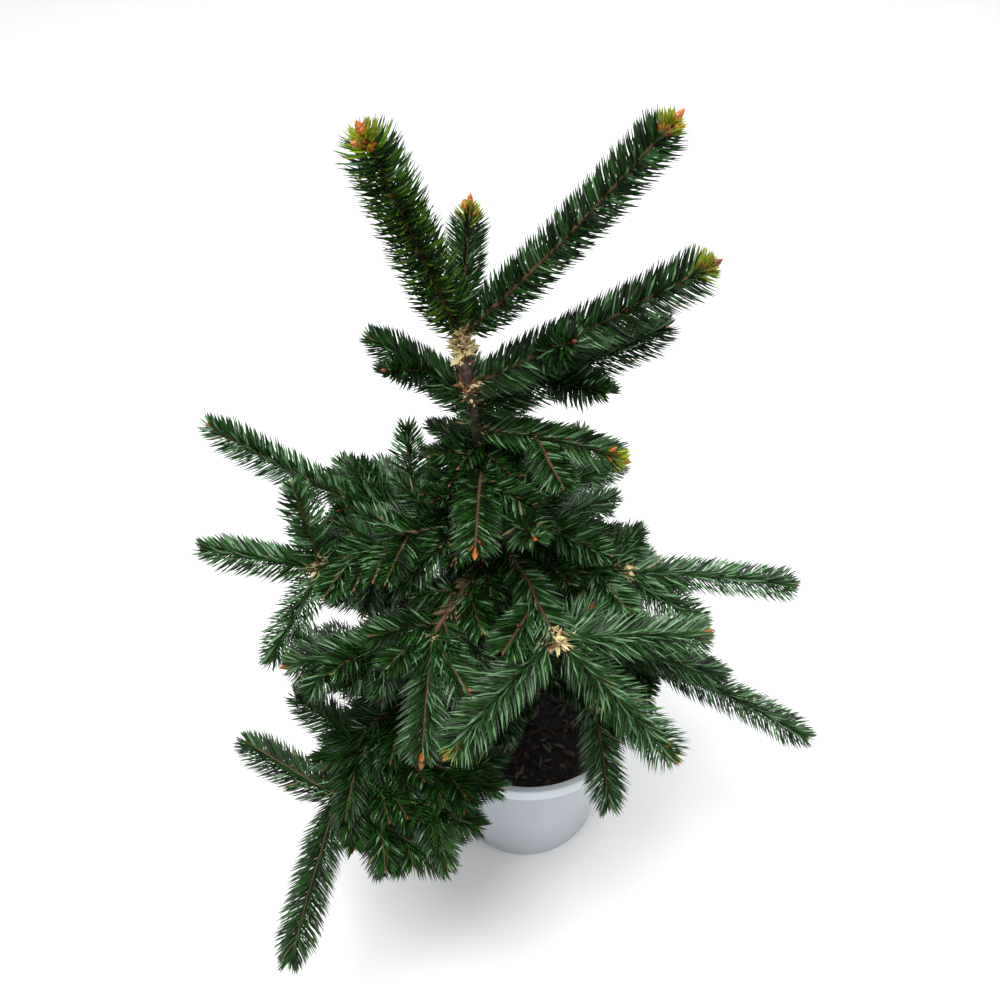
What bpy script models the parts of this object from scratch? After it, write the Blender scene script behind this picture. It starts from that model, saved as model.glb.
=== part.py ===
"""A young spruce in its round nursery pot, modelled as separate solids.

Metres, +Z up. The origin is the centre of the pot's flat underside. The reference
view looks along +Y with +X to its right, so a bearing of 0 degrees points to the
right, 90 away from the viewer, 180 to the left and 270 towards the viewer.
"""

import math
import random
from dataclasses import dataclass

import bmesh
import bpy
import numpy as np
from mathutils import Vector

# Two meshes that touch keep this much air between them
GAP = 0.0003

# The pot and what fills it
POT_HEIGHT = 0.156
RIM_RADIUS = 0.093
RIM_DEPTH = 0.013
RIM_OVERHANG = 0.0045
LIP_ROUNDING = 0.0010
POT_FOOT_RADIUS = 0.067
POT_WALL = 0.0016
POT_FLOOR = 0.0020
DRAIN_HOLES = 6
DRAIN_RADIUS = 0.0055
DRAIN_CIRCLE = 0.046
DRAIN_SIDES = 8
DRAIN_TURN = 0.27
COMPOST_BELOW_LIP = 0.015
COMPOST_BUMP = 0.0014
COMPOST_RINGS = (0.072, 0.056, 0.040, 0.026, 0.016)
COMPOST_FADE = 0.012
TURNED_STEPS = 28
SHARP_ANGLE = 45

# The trunk, from the flat cut on the compost to the top whorl
TRUNK_FOOT = POT_HEIGHT - COMPOST_BELOW_LIP
TRUNK_TOP = 0.545
TRUNK_LEAN = 0.049
TRUNK_FOOT_RADIUS = 0.0068
TRUNK_TIP_RADIUS = 0.0034
FLARE_RADIUS = 0.0115
FLARE_HEIGHT = 0.012
WHORL_SWELLING = 0.14
WHORL_REACH = 0.007
WHORL_HEIGHTS = (0.245, 0.365, 0.395, 0.505)
TRUNK_SIDES = 10
TRUNK_RINGS = 16
RING_CROWDING = 1.4

# Boughs, stems and shoots
BOUGH_SIDES = 6
BOUGH_RINGS = 4
BOUGH_FOOT_RADIUS = 0.0031
BOUGH_TIP_RADIUS = 0.0024
COLLAR = 1.35
STEM_RADIUS = 0.0024
SHOOT_FOOT_RADIUS = 0.0022
SHOOT_TIP_RADIUS = 0.0015
SHOOT_SIDES = 5
NODE_RADIUS = 0.0042
ROOT_SUNK = 0.0010

# Needles: each tooth on a shoot's core stands for a spray of them
NEEDLE_STEP = 0.0130
NEEDLE_LEAN = 47
FOOT_NEEDLE = 0.65
FOOT_GAIN = 2.6
TIP_SHARE = 0.2
TIP_FOLD = 22
BARE_FOOT = 0.005
BUD_LENGTH = 0.0070
BUD_RADIUS = 0.0026
BUD_BELLY = 0.35
SPACE_MARGIN = 0.0009
LIMB_MARGIN = 0.0012
POT_MARGIN = 0.004
TOOTH_SIZES = (1.0, 0.8, 0.6, 0.42)
TOOTH_PROBES = (0.25, 0.5, 0.75, 1.0)

# Side twigs that the seeded rule adds to a stem
TWIG_SEED = 41
TWIG_TURN = 52
TWIG_SPREAD = 10
TWIG_RISES = (-8, 14)
TWIG_LENGTHS = (0.034, 0.052)
TWIG_FIRST = 0.30
TWIG_STRETCH = 0.55
TWIG_NEEDLE = 0.9
TWIG_ROOM = 0.009


@dataclass(frozen=True)
class Run:
    """A limb or shoot: its bearing and rise in degrees taken over the whole of it, its
    length, how many degrees its rise falls by on the way, and how far along the stem
    of its mass it starts."""

    bearing: float
    rise: float
    length: float
    droop: float = 0.0
    at: float = 1.0


@dataclass(frozen=True)
class Bough:
    """A bare tapering limb whose foot is at this height on the trunk."""

    name: str
    height: float
    run: Run


@dataclass(frozen=True)
class Mass:
    """Foliage that grows on from a bough's tip, or from the trunk at a height, with
    the needles' length and the number of side twigs that the rule tries."""

    name: str
    carrier: str
    stem: Run
    shoots: tuple = ()
    twigs: int = 0
    needle: float = 0.021
    height: float = 0.0
    bare: float = 0.0


BOUGHS = (
    Bough("bough_right_upper", 0.392, Run(0, -18, 0.026)),
    Bough("bough_left_upper", 0.370, Run(160, -2, 0.058)),
    Bough("bough_left", 0.385, Run(200, 9, 0.059)),
    Bough("bough_front_left", 0.360, Run(242, -1, 0.078, droop=10)),
    Bough("bough_front", 0.370, Run(294, 6, 0.050)),
    Bough("bough_right", 0.360, Run(342, 2, 0.058)),
    Bough("bough_right_middle", 0.300, Run(330, -5, 0.070)),
    Bough("bough_right_low", 0.250, Run(350, -7, 0.058)),
    Bough("bough_front_right_low", 0.230, Run(321, -2, 0.076, droop=12)),
    Bough("bough_left_low", 0.220, Run(218, 14, 0.136, droop=30)),
    Bough("bough_left_middle", 0.258, Run(192, -12, 0.080, droop=20)),
    Bough("bough_back", 0.322, Run(92, 8, 0.075, droop=14)),
    Bough("bough_back_right", 0.350, Run(56, 4, 0.066, droop=12)),
    Bough("bough_back_left", 0.342, Run(136, 4, 0.070, droop=12)),
    Bough("bough_back_low", 0.265, Run(104, 6, 0.080, droop=18)),
    Bough("bough_back_right_low", 0.240, Run(34, 6, 0.080, droop=18)),
    Bough("bough_back_left_low", 0.238, Run(150, 6, 0.080, droop=18)),
)

MASSES = (
    Mass(
        "foliage_top",
        "trunk_tip",
        Run(188, 83, 0.008),
        (Run(211, 70, 0.160), Run(82, 56, 0.082), Run(0, 50, 0.189, droop=-8)),
        bare=0.008,
    ),
    Mass("foliage_upper_right", "trunk", Run(0, 32, 0.176, droop=-4), twigs=1, height=0.513),
    Mass("foliage_upper_back_right", "trunk", Run(17, 16, 0.142), twigs=1, height=0.493),
    Mass("foliage_upper_left", "trunk", Run(163, 26, 0.076), twigs=1, height=0.505),
    Mass("foliage_upper_back", "trunk", Run(98, 16, 0.094, droop=10), twigs=1, height=0.452),
    Mass("foliage_middle_right", "trunk", Run(343, 0, 0.103, droop=26), twigs=1, height=0.475),
    Mass("foliage_upper_front", "trunk", Run(268, 7, 0.100, droop=36), twigs=1, height=0.445),
    Mass("foliage_middle_front", "trunk", Run(289, 25, 0.105), twigs=1, height=0.416),
    Mass("foliage_middle_front_left", "trunk", Run(220, -18, 0.093), twigs=1, height=0.405),
    Mass(
        "foliage_right_upper",
        "bough_right_upper",
        Run(0, -12, 0.008),
        (Run(37, -12, 0.080), Run(358, -8, 0.054), Run(322, 8, 0.066)),
        bare=0.008,
    ),
    Mass(
        "foliage_left_upper",
        "bough_left_upper",
        Run(180, 21, 0.064, droop=-14),
        (Run(174, 34, 0.113, droop=-8), Run(96, 54, 0.070, at=0.15)),
        twigs=3,
    ),
    Mass(
        "foliage_left",
        "bough_left",
        Run(204, -5, 0.074),
        (Run(126, 67, 0.067), Run(179, 13, 0.083), Run(216, -52, 0.084)),
        twigs=3,
    ),
    Mass(
        "foliage_front_left",
        "bough_front_left",
        Run(242, -4, 0.020),
        (Run(188, -9, 0.104), Run(266, -26, 0.086, droop=14), Run(303, -15, 0.052)),
        needle=0.024,
        bare=0.020,
    ),
    Mass(
        "foliage_front",
        "bough_front",
        Run(291, -3, 0.059),
        (
            Run(220, -27, 0.106, droop=16),
            Run(329, -36, 0.120, droop=12),
            Run(11, -12, 0.114, droop=8),
            Run(52, -19, 0.052),
        ),
        twigs=1,
        needle=0.024,
    ),
    Mass(
        "foliage_right",
        "bough_right",
        Run(342, 2, 0.039),
        (Run(6, -13, 0.140, droop=8), Run(346, -33, 0.079)),
        twigs=2,
    ),
    Mass(
        "foliage_right_middle",
        "bough_right_middle",
        Run(331, -5, 0.020),
        (Run(352, -12, 0.094, droop=8), Run(20, -14, 0.090)),
    ),
    Mass(
        "foliage_right_low",
        "bough_right_low",
        Run(350, -3, 0.058),
        (Run(343, -20, 0.146, droop=16), Run(14, -26, 0.064)),
        twigs=3,
    ),
    Mass(
        "foliage_front_right_low",
        "bough_front_right_low",
        Run(300, -8, 0.010),
        (Run(277, -24, 0.078, droop=18), Run(332, -10, 0.050)),
        needle=0.023,
    ),
    Mass("foliage_front_low", "trunk", Run(257, 14, 0.088, droop=20), twigs=1, height=0.190),
    Mass(
        "foliage_left_low",
        "bough_left_low",
        Run(229, -39, 0.077, droop=18),
        (
            Run(254, -27, 0.122, droop=10),
            Run(150, 5, 0.090),
            Run(331, -11, 0.100, droop=8),
            Run(340, -3, 0.108, at=0.35),
            Run(152, 24, 0.066, at=0.4),
            Run(338, -6, 0.108, at=0.7),
        ),
        needle=0.023,
    ),
    Mass(
        "foliage_left_middle",
        "bough_left_middle",
        Run(190, -26, 0.024),
        (Run(188, -36, 0.050), Run(226, -24, 0.046), Run(152, -16, 0.058)),
    ),
    Mass(
        "foliage_back",
        "bough_back",
        Run(90, 2, 0.030),
        (Run(66, 4, 0.070), Run(112, 6, 0.072), Run(90, -22, 0.074)),
    ),
    Mass(
        "foliage_back_right",
        "bough_back_right",
        Run(54, -2, 0.030),
        (Run(36, -14, 0.064), Run(76, 0, 0.066), Run(54, -28, 0.066)),
    ),
    Mass(
        "foliage_back_left",
        "bough_back_left",
        Run(138, 0, 0.030),
        (Run(162, 0, 0.074), Run(122, -10, 0.062), Run(140, -28, 0.070)),
    ),
    Mass(
        "foliage_back_low",
        "bough_back_low",
        Run(102, -8, 0.034),
        (Run(80, -14, 0.076), Run(126, -12, 0.074), Run(100, -32, 0.070)),
    ),
    Mass(
        "foliage_back_right_low",
        "bough_back_right_low",
        Run(34, -6, 0.030),
        (Run(14, -16, 0.070), Run(58, -18, 0.070), Run(34, -34, 0.066)),
    ),
    Mass(
        "foliage_back_left_low",
        "bough_back_left_low",
        Run(152, -6, 0.030),
        (Run(174, -14, 0.074), Run(132, -12, 0.076), Run(154, -32, 0.070)),
    ),
)


def clear_scene():
    for obj in list(bpy.data.objects):
        bpy.data.objects.remove(obj, do_unlink=True)


def material(name, colour, roughness):
    made = bpy.data.materials.new(name)
    made.use_nodes = True
    shader = made.node_tree.nodes["Principled BSDF"]
    shader.inputs["Base Color"].default_value = (*colour, 1.0)
    shader.inputs["Roughness"].default_value = roughness
    shader.inputs["Metallic"].default_value = 0.0
    return made


def new_object(name, mesh, finish=None):
    obj = bpy.data.objects.new(name, mesh)
    bpy.context.scene.collection.objects.link(obj)
    if finish:
        mesh.materials.append(finish)
    return obj


def mesh_from(name, vertices, faces):
    mesh = bpy.data.meshes.new(name)
    mesh.from_pydata([tuple(v) for v in vertices], [], faces)
    mesh.update()
    return mesh


def smooth(mesh):
    mesh.shade_smooth()
    mesh.set_sharp_from_angle(angle=math.radians(SHARP_ANGLE))


def apply_modifiers(obj):
    graph = bpy.context.evaluated_depsgraph_get()
    finished = bpy.data.meshes.new_from_object(obj.evaluated_get(graph))
    obj.modifiers.clear()
    obj.data = finished


def keep_largest_piece(obj):
    """Drops loose scraps, and the inner walls of hollows that fusing has sealed."""
    work = bmesh.new()
    work.from_mesh(obj.data)
    unseen = set(work.faces)
    pieces = []
    while unseen:
        front = [unseen.pop()]
        piece = list(front)
        while front:
            for edge in front.pop().edges:
                for face in edge.link_faces:
                    if face in unseen:
                        unseen.discard(face)
                        piece.append(face)
                        front.append(face)
        pieces.append(piece)
    pieces.sort(key=len)
    for scrap in pieces[:-1]:
        bmesh.ops.delete(work, geom=scrap, context="FACES")
    bare_edges = [edge for edge in work.edges if not edge.link_faces]
    bmesh.ops.delete(work, geom=bare_edges, context="EDGES")
    work.to_mesh(obj.data)
    work.free()


def heading(bearing, rise):
    turn = math.radians(bearing)
    lift = math.radians(rise)
    return Vector((math.cos(lift) * math.cos(turn), math.cos(lift) * math.sin(turn), math.sin(lift)))


def follow(start, run, steps):
    """Points along a run, whose rise falls evenly from its foot to its tip."""
    points = [Vector(start)]
    for step in range(steps):
        along = (step + 0.5) / steps
        rise = run.rise + run.droop * (0.5 - along)
        points.append(points[-1] + heading(run.bearing, rise) * (run.length / steps))
    return points


def trunk_point(height):
    along = (height - TRUNK_FOOT) / (TRUNK_TOP - TRUNK_FOOT)
    return Vector((-TRUNK_LEAN * along, 0.0, height))


def trunk_radius(height):
    along = (height - TRUNK_FOOT) / (TRUNK_TOP - TRUNK_FOOT)
    taper = TRUNK_FOOT_RADIUS + (TRUNK_TIP_RADIUS - TRUNK_FOOT_RADIUS) * along
    flare = (FLARE_RADIUS - TRUNK_FOOT_RADIUS) * math.exp(-(height - TRUNK_FOOT) / FLARE_HEIGHT)
    swelling = 1.0
    for whorl in WHORL_HEIGHTS:
        swelling += WHORL_SWELLING * math.exp(-(((height - whorl) / WHORL_REACH) ** 2))
    return taper * swelling + flare


def trunk_heights():
    """Ring heights, close together over the root flare."""
    span = TRUNK_TOP - TRUNK_FOOT
    shares = [(ring / TRUNK_RINGS) ** RING_CROWDING for ring in range(TRUNK_RINGS + 1)]
    return [TRUNK_FOOT + span * share for share in shares]


def cross_frames(path):
    """A pair of directions across the path at each of its points, carried along unturned."""
    frames = []
    across = None
    for index, point in enumerate(path):
        behind = path[max(index - 1, 0)]
        ahead = path[min(index + 1, len(path) - 1)]
        along = (ahead - behind).normalized()
        if across is None:
            across = along.orthogonal().normalized()
        across = (across - along * across.dot(along)).normalized()
        frames.append((across, along.cross(across), along))
    return frames


def ring_points(centre, frame, radius, sides, turn=0.0):
    across, over, _ = frame
    angles = [2 * math.pi * side / sides + turn for side in range(sides)]
    return [centre + (across * math.cos(a) + over * math.sin(a)) * radius for a in angles]


def tube_mesh(name, path, radii, sides):
    """A closed round bar with flat ends, its radius given at every point of its path."""
    vertices = []
    for point, frame, radius in zip(path, cross_frames(path), radii):
        vertices += ring_points(point, frame, radius, sides)
    faces = [tuple(reversed(range(sides)))]
    for ring in range(len(path) - 1):
        for side in range(sides):
            low = ring * sides + side
            low_next = ring * sides + (side + 1) % sides
            faces.append((low, low_next, low_next + sides, low + sides))
    last = (len(path) - 1) * sides
    faces.append(tuple(range(last, last + sides)))
    return mesh_from(name, vertices, faces)


def level_tube_mesh(name, heights, radii, sides):
    """A closed bar round the trunk's line, with its rings and its two ends level."""
    vertices = []
    for height, radius in zip(heights, radii):
        centre = trunk_point(height)
        for side in range(sides):
            turn = 2 * math.pi * side / sides
            vertices.append(centre + Vector((math.cos(turn), math.sin(turn), 0.0)) * radius)
    faces = [tuple(reversed(range(sides)))]
    for ring in range(len(heights) - 1):
        for side in range(sides):
            low = ring * sides + side
            low_next = ring * sides + (side + 1) % sides
            faces.append((low, low_next, low_next + sides, low + sides))
    last = (len(heights) - 1) * sides
    faces.append(tuple(range(last, last + sides)))
    return mesh_from(name, vertices, faces)


def turned_mesh(name, profile, bump=None):
    """A closed solid of revolution. The profile runs from the axis under the piece, out
    and up its outer side, and back to the axis above it."""
    vertices = [Vector((0.0, 0.0, profile[0][1]))]
    for radius, height in profile[1:-1]:
        for step in range(TURNED_STEPS):
            turn = 2 * math.pi * step / TURNED_STEPS
            spot = Vector((radius * math.cos(turn), radius * math.sin(turn), height))
            if bump:
                spot.z += bump(spot)
            vertices.append(spot)
    vertices.append(Vector((0.0, 0.0, profile[-1][1])))
    faces = []
    for step in range(TURNED_STEPS):
        following = (step + 1) % TURNED_STEPS
        faces.append((0, 1 + following, 1 + step))
        for ring in range(len(profile) - 3):
            low = 1 + ring * TURNED_STEPS
            high = low + TURNED_STEPS
            faces.append((low + step, low + following, high + following, high + step))
        last = 1 + (len(profile) - 3) * TURNED_STEPS
        faces.append((last + step, last + following, len(vertices) - 1))
    return mesh_from(name, vertices, faces)


def inner_radius(height):
    """The pot's bore, which narrows with the outer wall towards the floor."""
    top = RIM_RADIUS - RIM_OVERHANG - POT_WALL
    bottom = POT_FOOT_RADIUS - POT_WALL
    return bottom + (top - bottom) * (height - POT_FLOOR) / (POT_HEIGHT - POT_FLOOR)


def build_pot(finish):
    band_foot = POT_HEIGHT - RIM_DEPTH
    under_band = inner_radius(band_foot) + POT_WALL
    lip_inner = inner_radius(POT_HEIGHT)
    profile = [
        (0.0, 0.0),
        (POT_FOOT_RADIUS - LIP_ROUNDING, 0.0),
        (POT_FOOT_RADIUS, LIP_ROUNDING),
        (under_band, band_foot),
        (RIM_RADIUS - LIP_ROUNDING, band_foot),
        (RIM_RADIUS, band_foot + LIP_ROUNDING),
        (RIM_RADIUS, POT_HEIGHT - LIP_ROUNDING),
        (RIM_RADIUS - LIP_ROUNDING, POT_HEIGHT),
        (lip_inner + LIP_ROUNDING, POT_HEIGHT),
        (lip_inner, POT_HEIGHT - LIP_ROUNDING),
        (inner_radius(POT_FLOOR), POT_FLOOR),
        (0.0, POT_FLOOR),
    ]
    pot = new_object("pot", turned_mesh("pot", profile), finish)
    for hole in range(DRAIN_HOLES):
        turn = 2 * math.pi * (hole + DRAIN_TURN) / DRAIN_HOLES
        centre = Vector((math.cos(turn), math.sin(turn), 0.0)) * DRAIN_CIRCLE
        path = [centre - Vector((0, 0, POT_FLOOR)), centre + Vector((0, 0, 2 * POT_FLOOR))]
        bore = tube_mesh("drain_cutter", path, [DRAIN_RADIUS] * 2, DRAIN_SIDES)
        cut(pot, new_object("drain_cutter", bore))
    smooth(pot.data)
    return pot


def compost_bump(spot):
    """Low waves over the top of the compost, which die away at the trunk and the wall."""
    radius = math.hypot(spot.x, spot.y)
    if spot.z < TRUNK_FOOT - GAP - COMPOST_BUMP:
        return 0.0
    fade_in = min(max((radius - COMPOST_RINGS[-1]) / COMPOST_FADE, 0.0), 1.0)
    fade_out = min(max((inner_radius(TRUNK_FOOT) - radius) / COMPOST_FADE, 0.0), 1.0)
    long_waves = math.sin(95 * spot.x + 1.3) * math.cos(120 * spot.y)
    short_waves = math.sin(160 * (spot.x + spot.y))
    return COMPOST_BUMP * (long_waves + short_waves) * fade_in * fade_out


def build_compost(finish):
    top = TRUNK_FOOT - GAP
    bottom = POT_FLOOR + GAP
    profile = [(0.0, bottom), (inner_radius(bottom) - GAP, bottom), (inner_radius(top) - GAP, top)]
    for radius in COMPOST_RINGS:
        profile.append((radius, top))
    profile.append((0.0, top))
    compost = new_object("compost", turned_mesh("compost", profile, compost_bump), finish)
    smooth(compost.data)
    return compost


def build_trunk(finish):
    heights = trunk_heights()
    radii = [trunk_radius(height) for height in heights]
    trunk = new_object("trunk", level_tube_mesh("trunk", heights, radii, TRUNK_SIDES), finish)
    smooth(trunk.data)
    return trunk


def cut(host, cutter):
    """Cuts one closed mesh out of another, and removes the cutter."""
    cutter.hide_render = True
    cutter.display_type = "WIRE"
    boolean = host.modifiers.new("cut", "BOOLEAN")
    boolean.operation = "DIFFERENCE"
    boolean.object = cutter
    apply_modifiers(host)
    bpy.data.objects.remove(cutter, do_unlink=True)


def cut_foot(obj):
    """Cuts the foot of a limb to the trunk's surface, just clear of it."""
    heights = trunk_heights()
    radii = [trunk_radius(height) + GAP for height in heights]
    mesh = level_tube_mesh("trunk_cutter", heights, radii, TRUNK_SIDES)
    cut(obj, new_object("trunk_cutter", mesh))


def bough_path(bough):
    return follow(trunk_point(bough.height), bough.run, BOUGH_RINGS)


def bough_radii():
    """Even taper, with a collar where the limb leaves the trunk."""
    radii = []
    for ring in range(BOUGH_RINGS + 1):
        along = ring / BOUGH_RINGS
        radius = BOUGH_FOOT_RADIUS + (BOUGH_TIP_RADIUS - BOUGH_FOOT_RADIUS) * along
        if ring == 0:
            radius *= COLLAR
        radii.append(radius)
    return radii


def build_bough(bough, finish):
    mesh = tube_mesh(bough.name, bough_path(bough), bough_radii(), BOUGH_SIDES)
    limb = new_object(bough.name, mesh, finish)
    cut_foot(limb)
    keep_largest_piece(limb)
    smooth(limb.data)
    return limb


@dataclass
class Shoot:
    """A shoot with its place worked out: its line, and how it is dressed."""

    path: list
    needle: float
    is_stem: bool = False
    from_trunk: bool = False
    ends_in_node: bool = False
    bare: float = 0.0


def steps_for(length):
    return max(3, round(length / NEEDLE_STEP))


def point_along(path, fraction):
    place = fraction * (len(path) - 1)
    index = min(int(place), len(path) - 2)
    return path[index].lerp(path[index + 1], place - index)


def stem_start(mass):
    """Where a mass's stem begins: the trunk's line, or just past the end of its limb."""
    if mass.carrier == "trunk":
        return trunk_point(mass.height)
    if mass.carrier == "trunk_tip":
        return trunk_point(TRUNK_TOP) + Vector((0, 0, GAP))
    limb = next(bough for bough in BOUGHS if bough.name == mass.carrier)
    path = bough_path(limb)
    return path[-1] + (path[-1] - path[-2]).normalized() * GAP


def run_out(mass):
    """The stem of a mass and the shoots that the tree's own habit gives it."""
    on_trunk = mass.carrier == "trunk"
    start = stem_start(mass)
    path = follow(start, mass.stem, steps_for(mass.stem.length))
    if mass.carrier.startswith("bough"):
        limb = next(bough for bough in BOUGHS if bough.name == mass.carrier)
        path[1] = start + (start - bough_path(limb)[-2]).normalized() * (path[1] - path[0]).length
    fork = any(run.at == 1.0 for run in mass.shoots)
    shoots = [Shoot(path, mass.needle, True, on_trunk, fork, mass.bare)]
    for run in mass.shoots:
        start = point_along(path, run.at)
        line = follow(start, run, steps_for(run.length))
        shoots.append(Shoot(line, mass.needle))
    return shoots


def segments(shoots):
    """Every shoot's line as straight pieces: their starts, their ends and their owners."""
    starts, ends, owners = [], [], []
    for number, shoot in enumerate(shoots):
        for low, high in zip(shoot.path, shoot.path[1:]):
            starts.append(low)
            ends.append(high)
            owners.append(number)
    return np.array(starts), np.array(ends), np.array(owners)


def limb_segments():
    """The trunk and the boughs as straight pieces with a radius."""
    starts, ends, radii = [], [], []
    heights = trunk_heights()
    for low, high in zip(heights, heights[1:]):
        starts.append(trunk_point(low))
        ends.append(trunk_point(high))
        radii.append(max(trunk_radius(low), trunk_radius(high)))
    for bough in BOUGHS:
        path = bough_path(bough)
        for low, high, radius in zip(path, path[1:], bough_radii()):
            starts.append(low)
            ends.append(high)
            radii.append(radius)
    return np.array(starts), np.array(ends), np.array(radii)


def distances(points, starts, ends):
    """From every point to every straight piece."""
    spans = ends - starts
    offsets = points[:, None, :] - starts[None, :, :]
    along = np.einsum("psk,sk->ps", offsets, spans) / np.einsum("sk,sk->s", spans, spans)
    along = np.clip(along, 0.0, 1.0)
    return np.linalg.norm(offsets - along[:, :, None] * spans[None, :, :], axis=2)


def add_twigs(mass, shoots, everything, rng):
    """The seeded rule: side twigs to the left and right of the stem in turn, kept only
    where they have room among the limbs and the other shoots."""
    stem = shoots[0]
    starts, ends, owners = segments(everything)
    limb_starts, limb_ends, limb_radii = limb_segments()
    side = rng.choice((-1, 1))
    for number in range(mass.twigs):
        at = TWIG_FIRST + TWIG_STRETCH * (number + rng.random() * 0.5) / mass.twigs
        turn = side * (TWIG_TURN + rng.uniform(-TWIG_SPREAD, TWIG_SPREAD))
        length = rng.uniform(*TWIG_LENGTHS)
        rise = mass.stem.rise + rng.uniform(*TWIG_RISES)
        run = Run(mass.stem.bearing + turn, rise, length)
        line = follow(point_along(stem.path, at), run, steps_for(length))
        outer = np.array(line[2:])
        others = owners != everything.index(stem)
        room = distances(outer, starts[others], ends[others]).min()
        limb_room = (distances(outer, limb_starts, limb_ends) - limb_radii).min()
        if min(room, limb_room) > TWIG_ROOM:
            shoots.append(Shoot(line, mass.needle * TWIG_NEEDLE))
            everything.append(shoots[-1])
        side = -side


def core_radius(shoot, along):
    """Even taper, or for a forking stem an even bar that swells at its end."""
    if shoot.ends_in_node:
        return STEM_RADIUS if along < 1.0 else NODE_RADIUS
    foot = STEM_RADIUS if shoot.is_stem else SHOOT_FOOT_RADIUS
    return foot + (SHOOT_TIP_RADIUS - foot) * along


def tooth_reach(shoot, along):
    """How far a tooth stands out and forward: short at the foot, laid forward at the tip."""
    reach = shoot.needle * min(FOOT_NEEDLE + FOOT_GAIN * along, 1.0)
    lean = math.radians(NEEDLE_LEAN)
    if not shoot.ends_in_node:
        lean -= math.radians(TIP_FOLD) * max(along - (1 - TIP_SHARE), 0.0) / TIP_SHARE
    return reach * math.sin(lean), reach * math.cos(lean)


class Space:
    """The room that each shoot has: nearer to its own line than to any other, clear of
    the limbs, and clear of the pot."""

    def __init__(self, shoots):
        self.starts, self.ends, self.owners = segments(shoots)
        self.limb_starts, self.limb_ends, self.limb_radii = limb_segments()

    def has(self, points, owner):
        points = np.array(points)
        reach = distances(points, self.starts, self.ends)
        mine = reach[:, self.owners == owner].min(axis=1)
        others = reach[:, self.owners != owner].min(axis=1)
        limbs = (distances(points, self.limb_starts, self.limb_ends) - self.limb_radii).min(axis=1)
        near_axis = np.hypot(points[:, 0], points[:, 1]) < RIM_RADIUS + POT_MARGIN
        in_pot = near_axis & (points[:, 2] < POT_HEIGHT + POT_MARGIN)
        free = (mine + SPACE_MARGIN < others) & (limbs > LIMB_MARGIN) & ~in_pot
        return bool(free.all())


def tooth_tip(base, outward, along, reach, owner, space):
    """The tip of the longest tooth that has room here, or nothing where none has."""
    out, forward = reach
    for size in TOOTH_SIZES:
        tip = base + (outward * out + along * forward) * size
        if space.has([base.lerp(tip, part) for part in TOOTH_PROBES], owner):
            return tip
    return None


def spray_mesh(name, shoot, owner, space):
    """A slim core along the shoot. Each facet of the core is drawn out into a pointed
    tooth that leans towards the tip, shortened or left flat where it has no room."""
    sides = SHOOT_SIDES
    path = list(shoot.path)
    if not shoot.is_stem:
        path[0] = path[0] - (path[1] - path[0]).normalized() * ROOT_SUNK
    frames = cross_frames(path)
    last = len(path) - 1
    vertices = []
    for index, (point, frame) in enumerate(zip(path, frames)):
        turn = index * math.pi / sides
        vertices += ring_points(point, frame, core_radius(shoot, index / last), sides, turn)
    faces = [tuple(reversed(range(sides)))]
    travelled = 0.0
    for ring in range(last):
        step = (path[ring + 1] - path[ring]).length
        travelled += step
        bare = travelled < max(shoot.bare, BARE_FOOT) + step * 0.5
        reach = tooth_reach(shoot, (ring + 0.5) / last)
        middle = (path[ring] + path[ring + 1]) / 2
        along = (path[ring + 1] - path[ring]).normalized()
        for side in range(sides):
            low = ring * sides + side
            low_next = ring * sides + (side + 1) % sides
            quad = (low, low_next, low_next + sides, low + sides)
            base = sum((vertices[corner] for corner in quad), Vector()) / 4
            outward = base - middle
            outward = (outward - along * outward.dot(along)).normalized()
            tip = None if bare else tooth_tip(base, outward, along, reach, owner, space)
            if tip is None:
                faces += [quad[:3], (quad[0], quad[2], quad[3])]
                continue
            vertices.append(tip)
            for first, second in zip(quad, quad[1:] + quad[:1]):
                faces.append((first, second, len(vertices) - 1))
    close_tip(shoot, path[-1], frames[-1], last, vertices, faces)
    return mesh_from(name, vertices, faces)


def close_tip(shoot, end, frame, last, vertices, faces):
    """Ends a shoot in a pointed bud, and a forking stem in a blunt swelling."""
    sides = SHOOT_SIDES
    ring = [last * sides + side for side in range(sides)]
    along = frame[2]
    if not shoot.ends_in_node:
        turn = last * math.pi / sides
        first = len(vertices)
        vertices += ring_points(end + along * BUD_LENGTH * BUD_BELLY, frame, BUD_RADIUS, sides, turn)
        for side in range(sides):
            following = (side + 1) % sides
            faces.append((ring[side], ring[following], first + following))
            faces.append((ring[side], first + following, first + side))
        ring = [first + side for side in range(sides)]
        vertices.append(end + along * BUD_LENGTH)
    else:
        vertices.append(end + along * NODE_RADIUS)
    peak = len(vertices) - 1
    for side in range(sides):
        faces.append((ring[side], ring[(side + 1) % sides], peak))


def join(host, parts):
    """One Boolean union on a collection fuses the shoots to their stem."""
    group = bpy.data.collections.new(host.name + "_parts")
    bpy.context.scene.collection.children.link(group)
    for part in parts:
        bpy.context.scene.collection.objects.unlink(part)
        group.objects.link(part)
    boolean = host.modifiers.new("join", "BOOLEAN")
    boolean.operation = "UNION"
    boolean.operand_type = "COLLECTION"
    boolean.collection = group
    apply_modifiers(host)
    for part in parts:
        bpy.data.objects.remove(part, do_unlink=True)
    bpy.data.collections.remove(group)


def build_mass(mass, shoots, everything, space, finish):
    made = []
    for number, shoot in enumerate(shoots):
        owner = everything.index(shoot)
        name = mass.name if number == 0 else f"{mass.name}_shoot_{number}"
        made.append(new_object(name, spray_mesh(name, shoot, owner, space)))
    host = made[0]
    if shoots[0].from_trunk:
        cut_foot(host)
        keep_largest_piece(host)
    if len(made) > 1:
        join(host, made[1:])
    keep_largest_piece(host)
    host.data.materials.clear()
    host.data.materials.append(finish)
    return host


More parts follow.
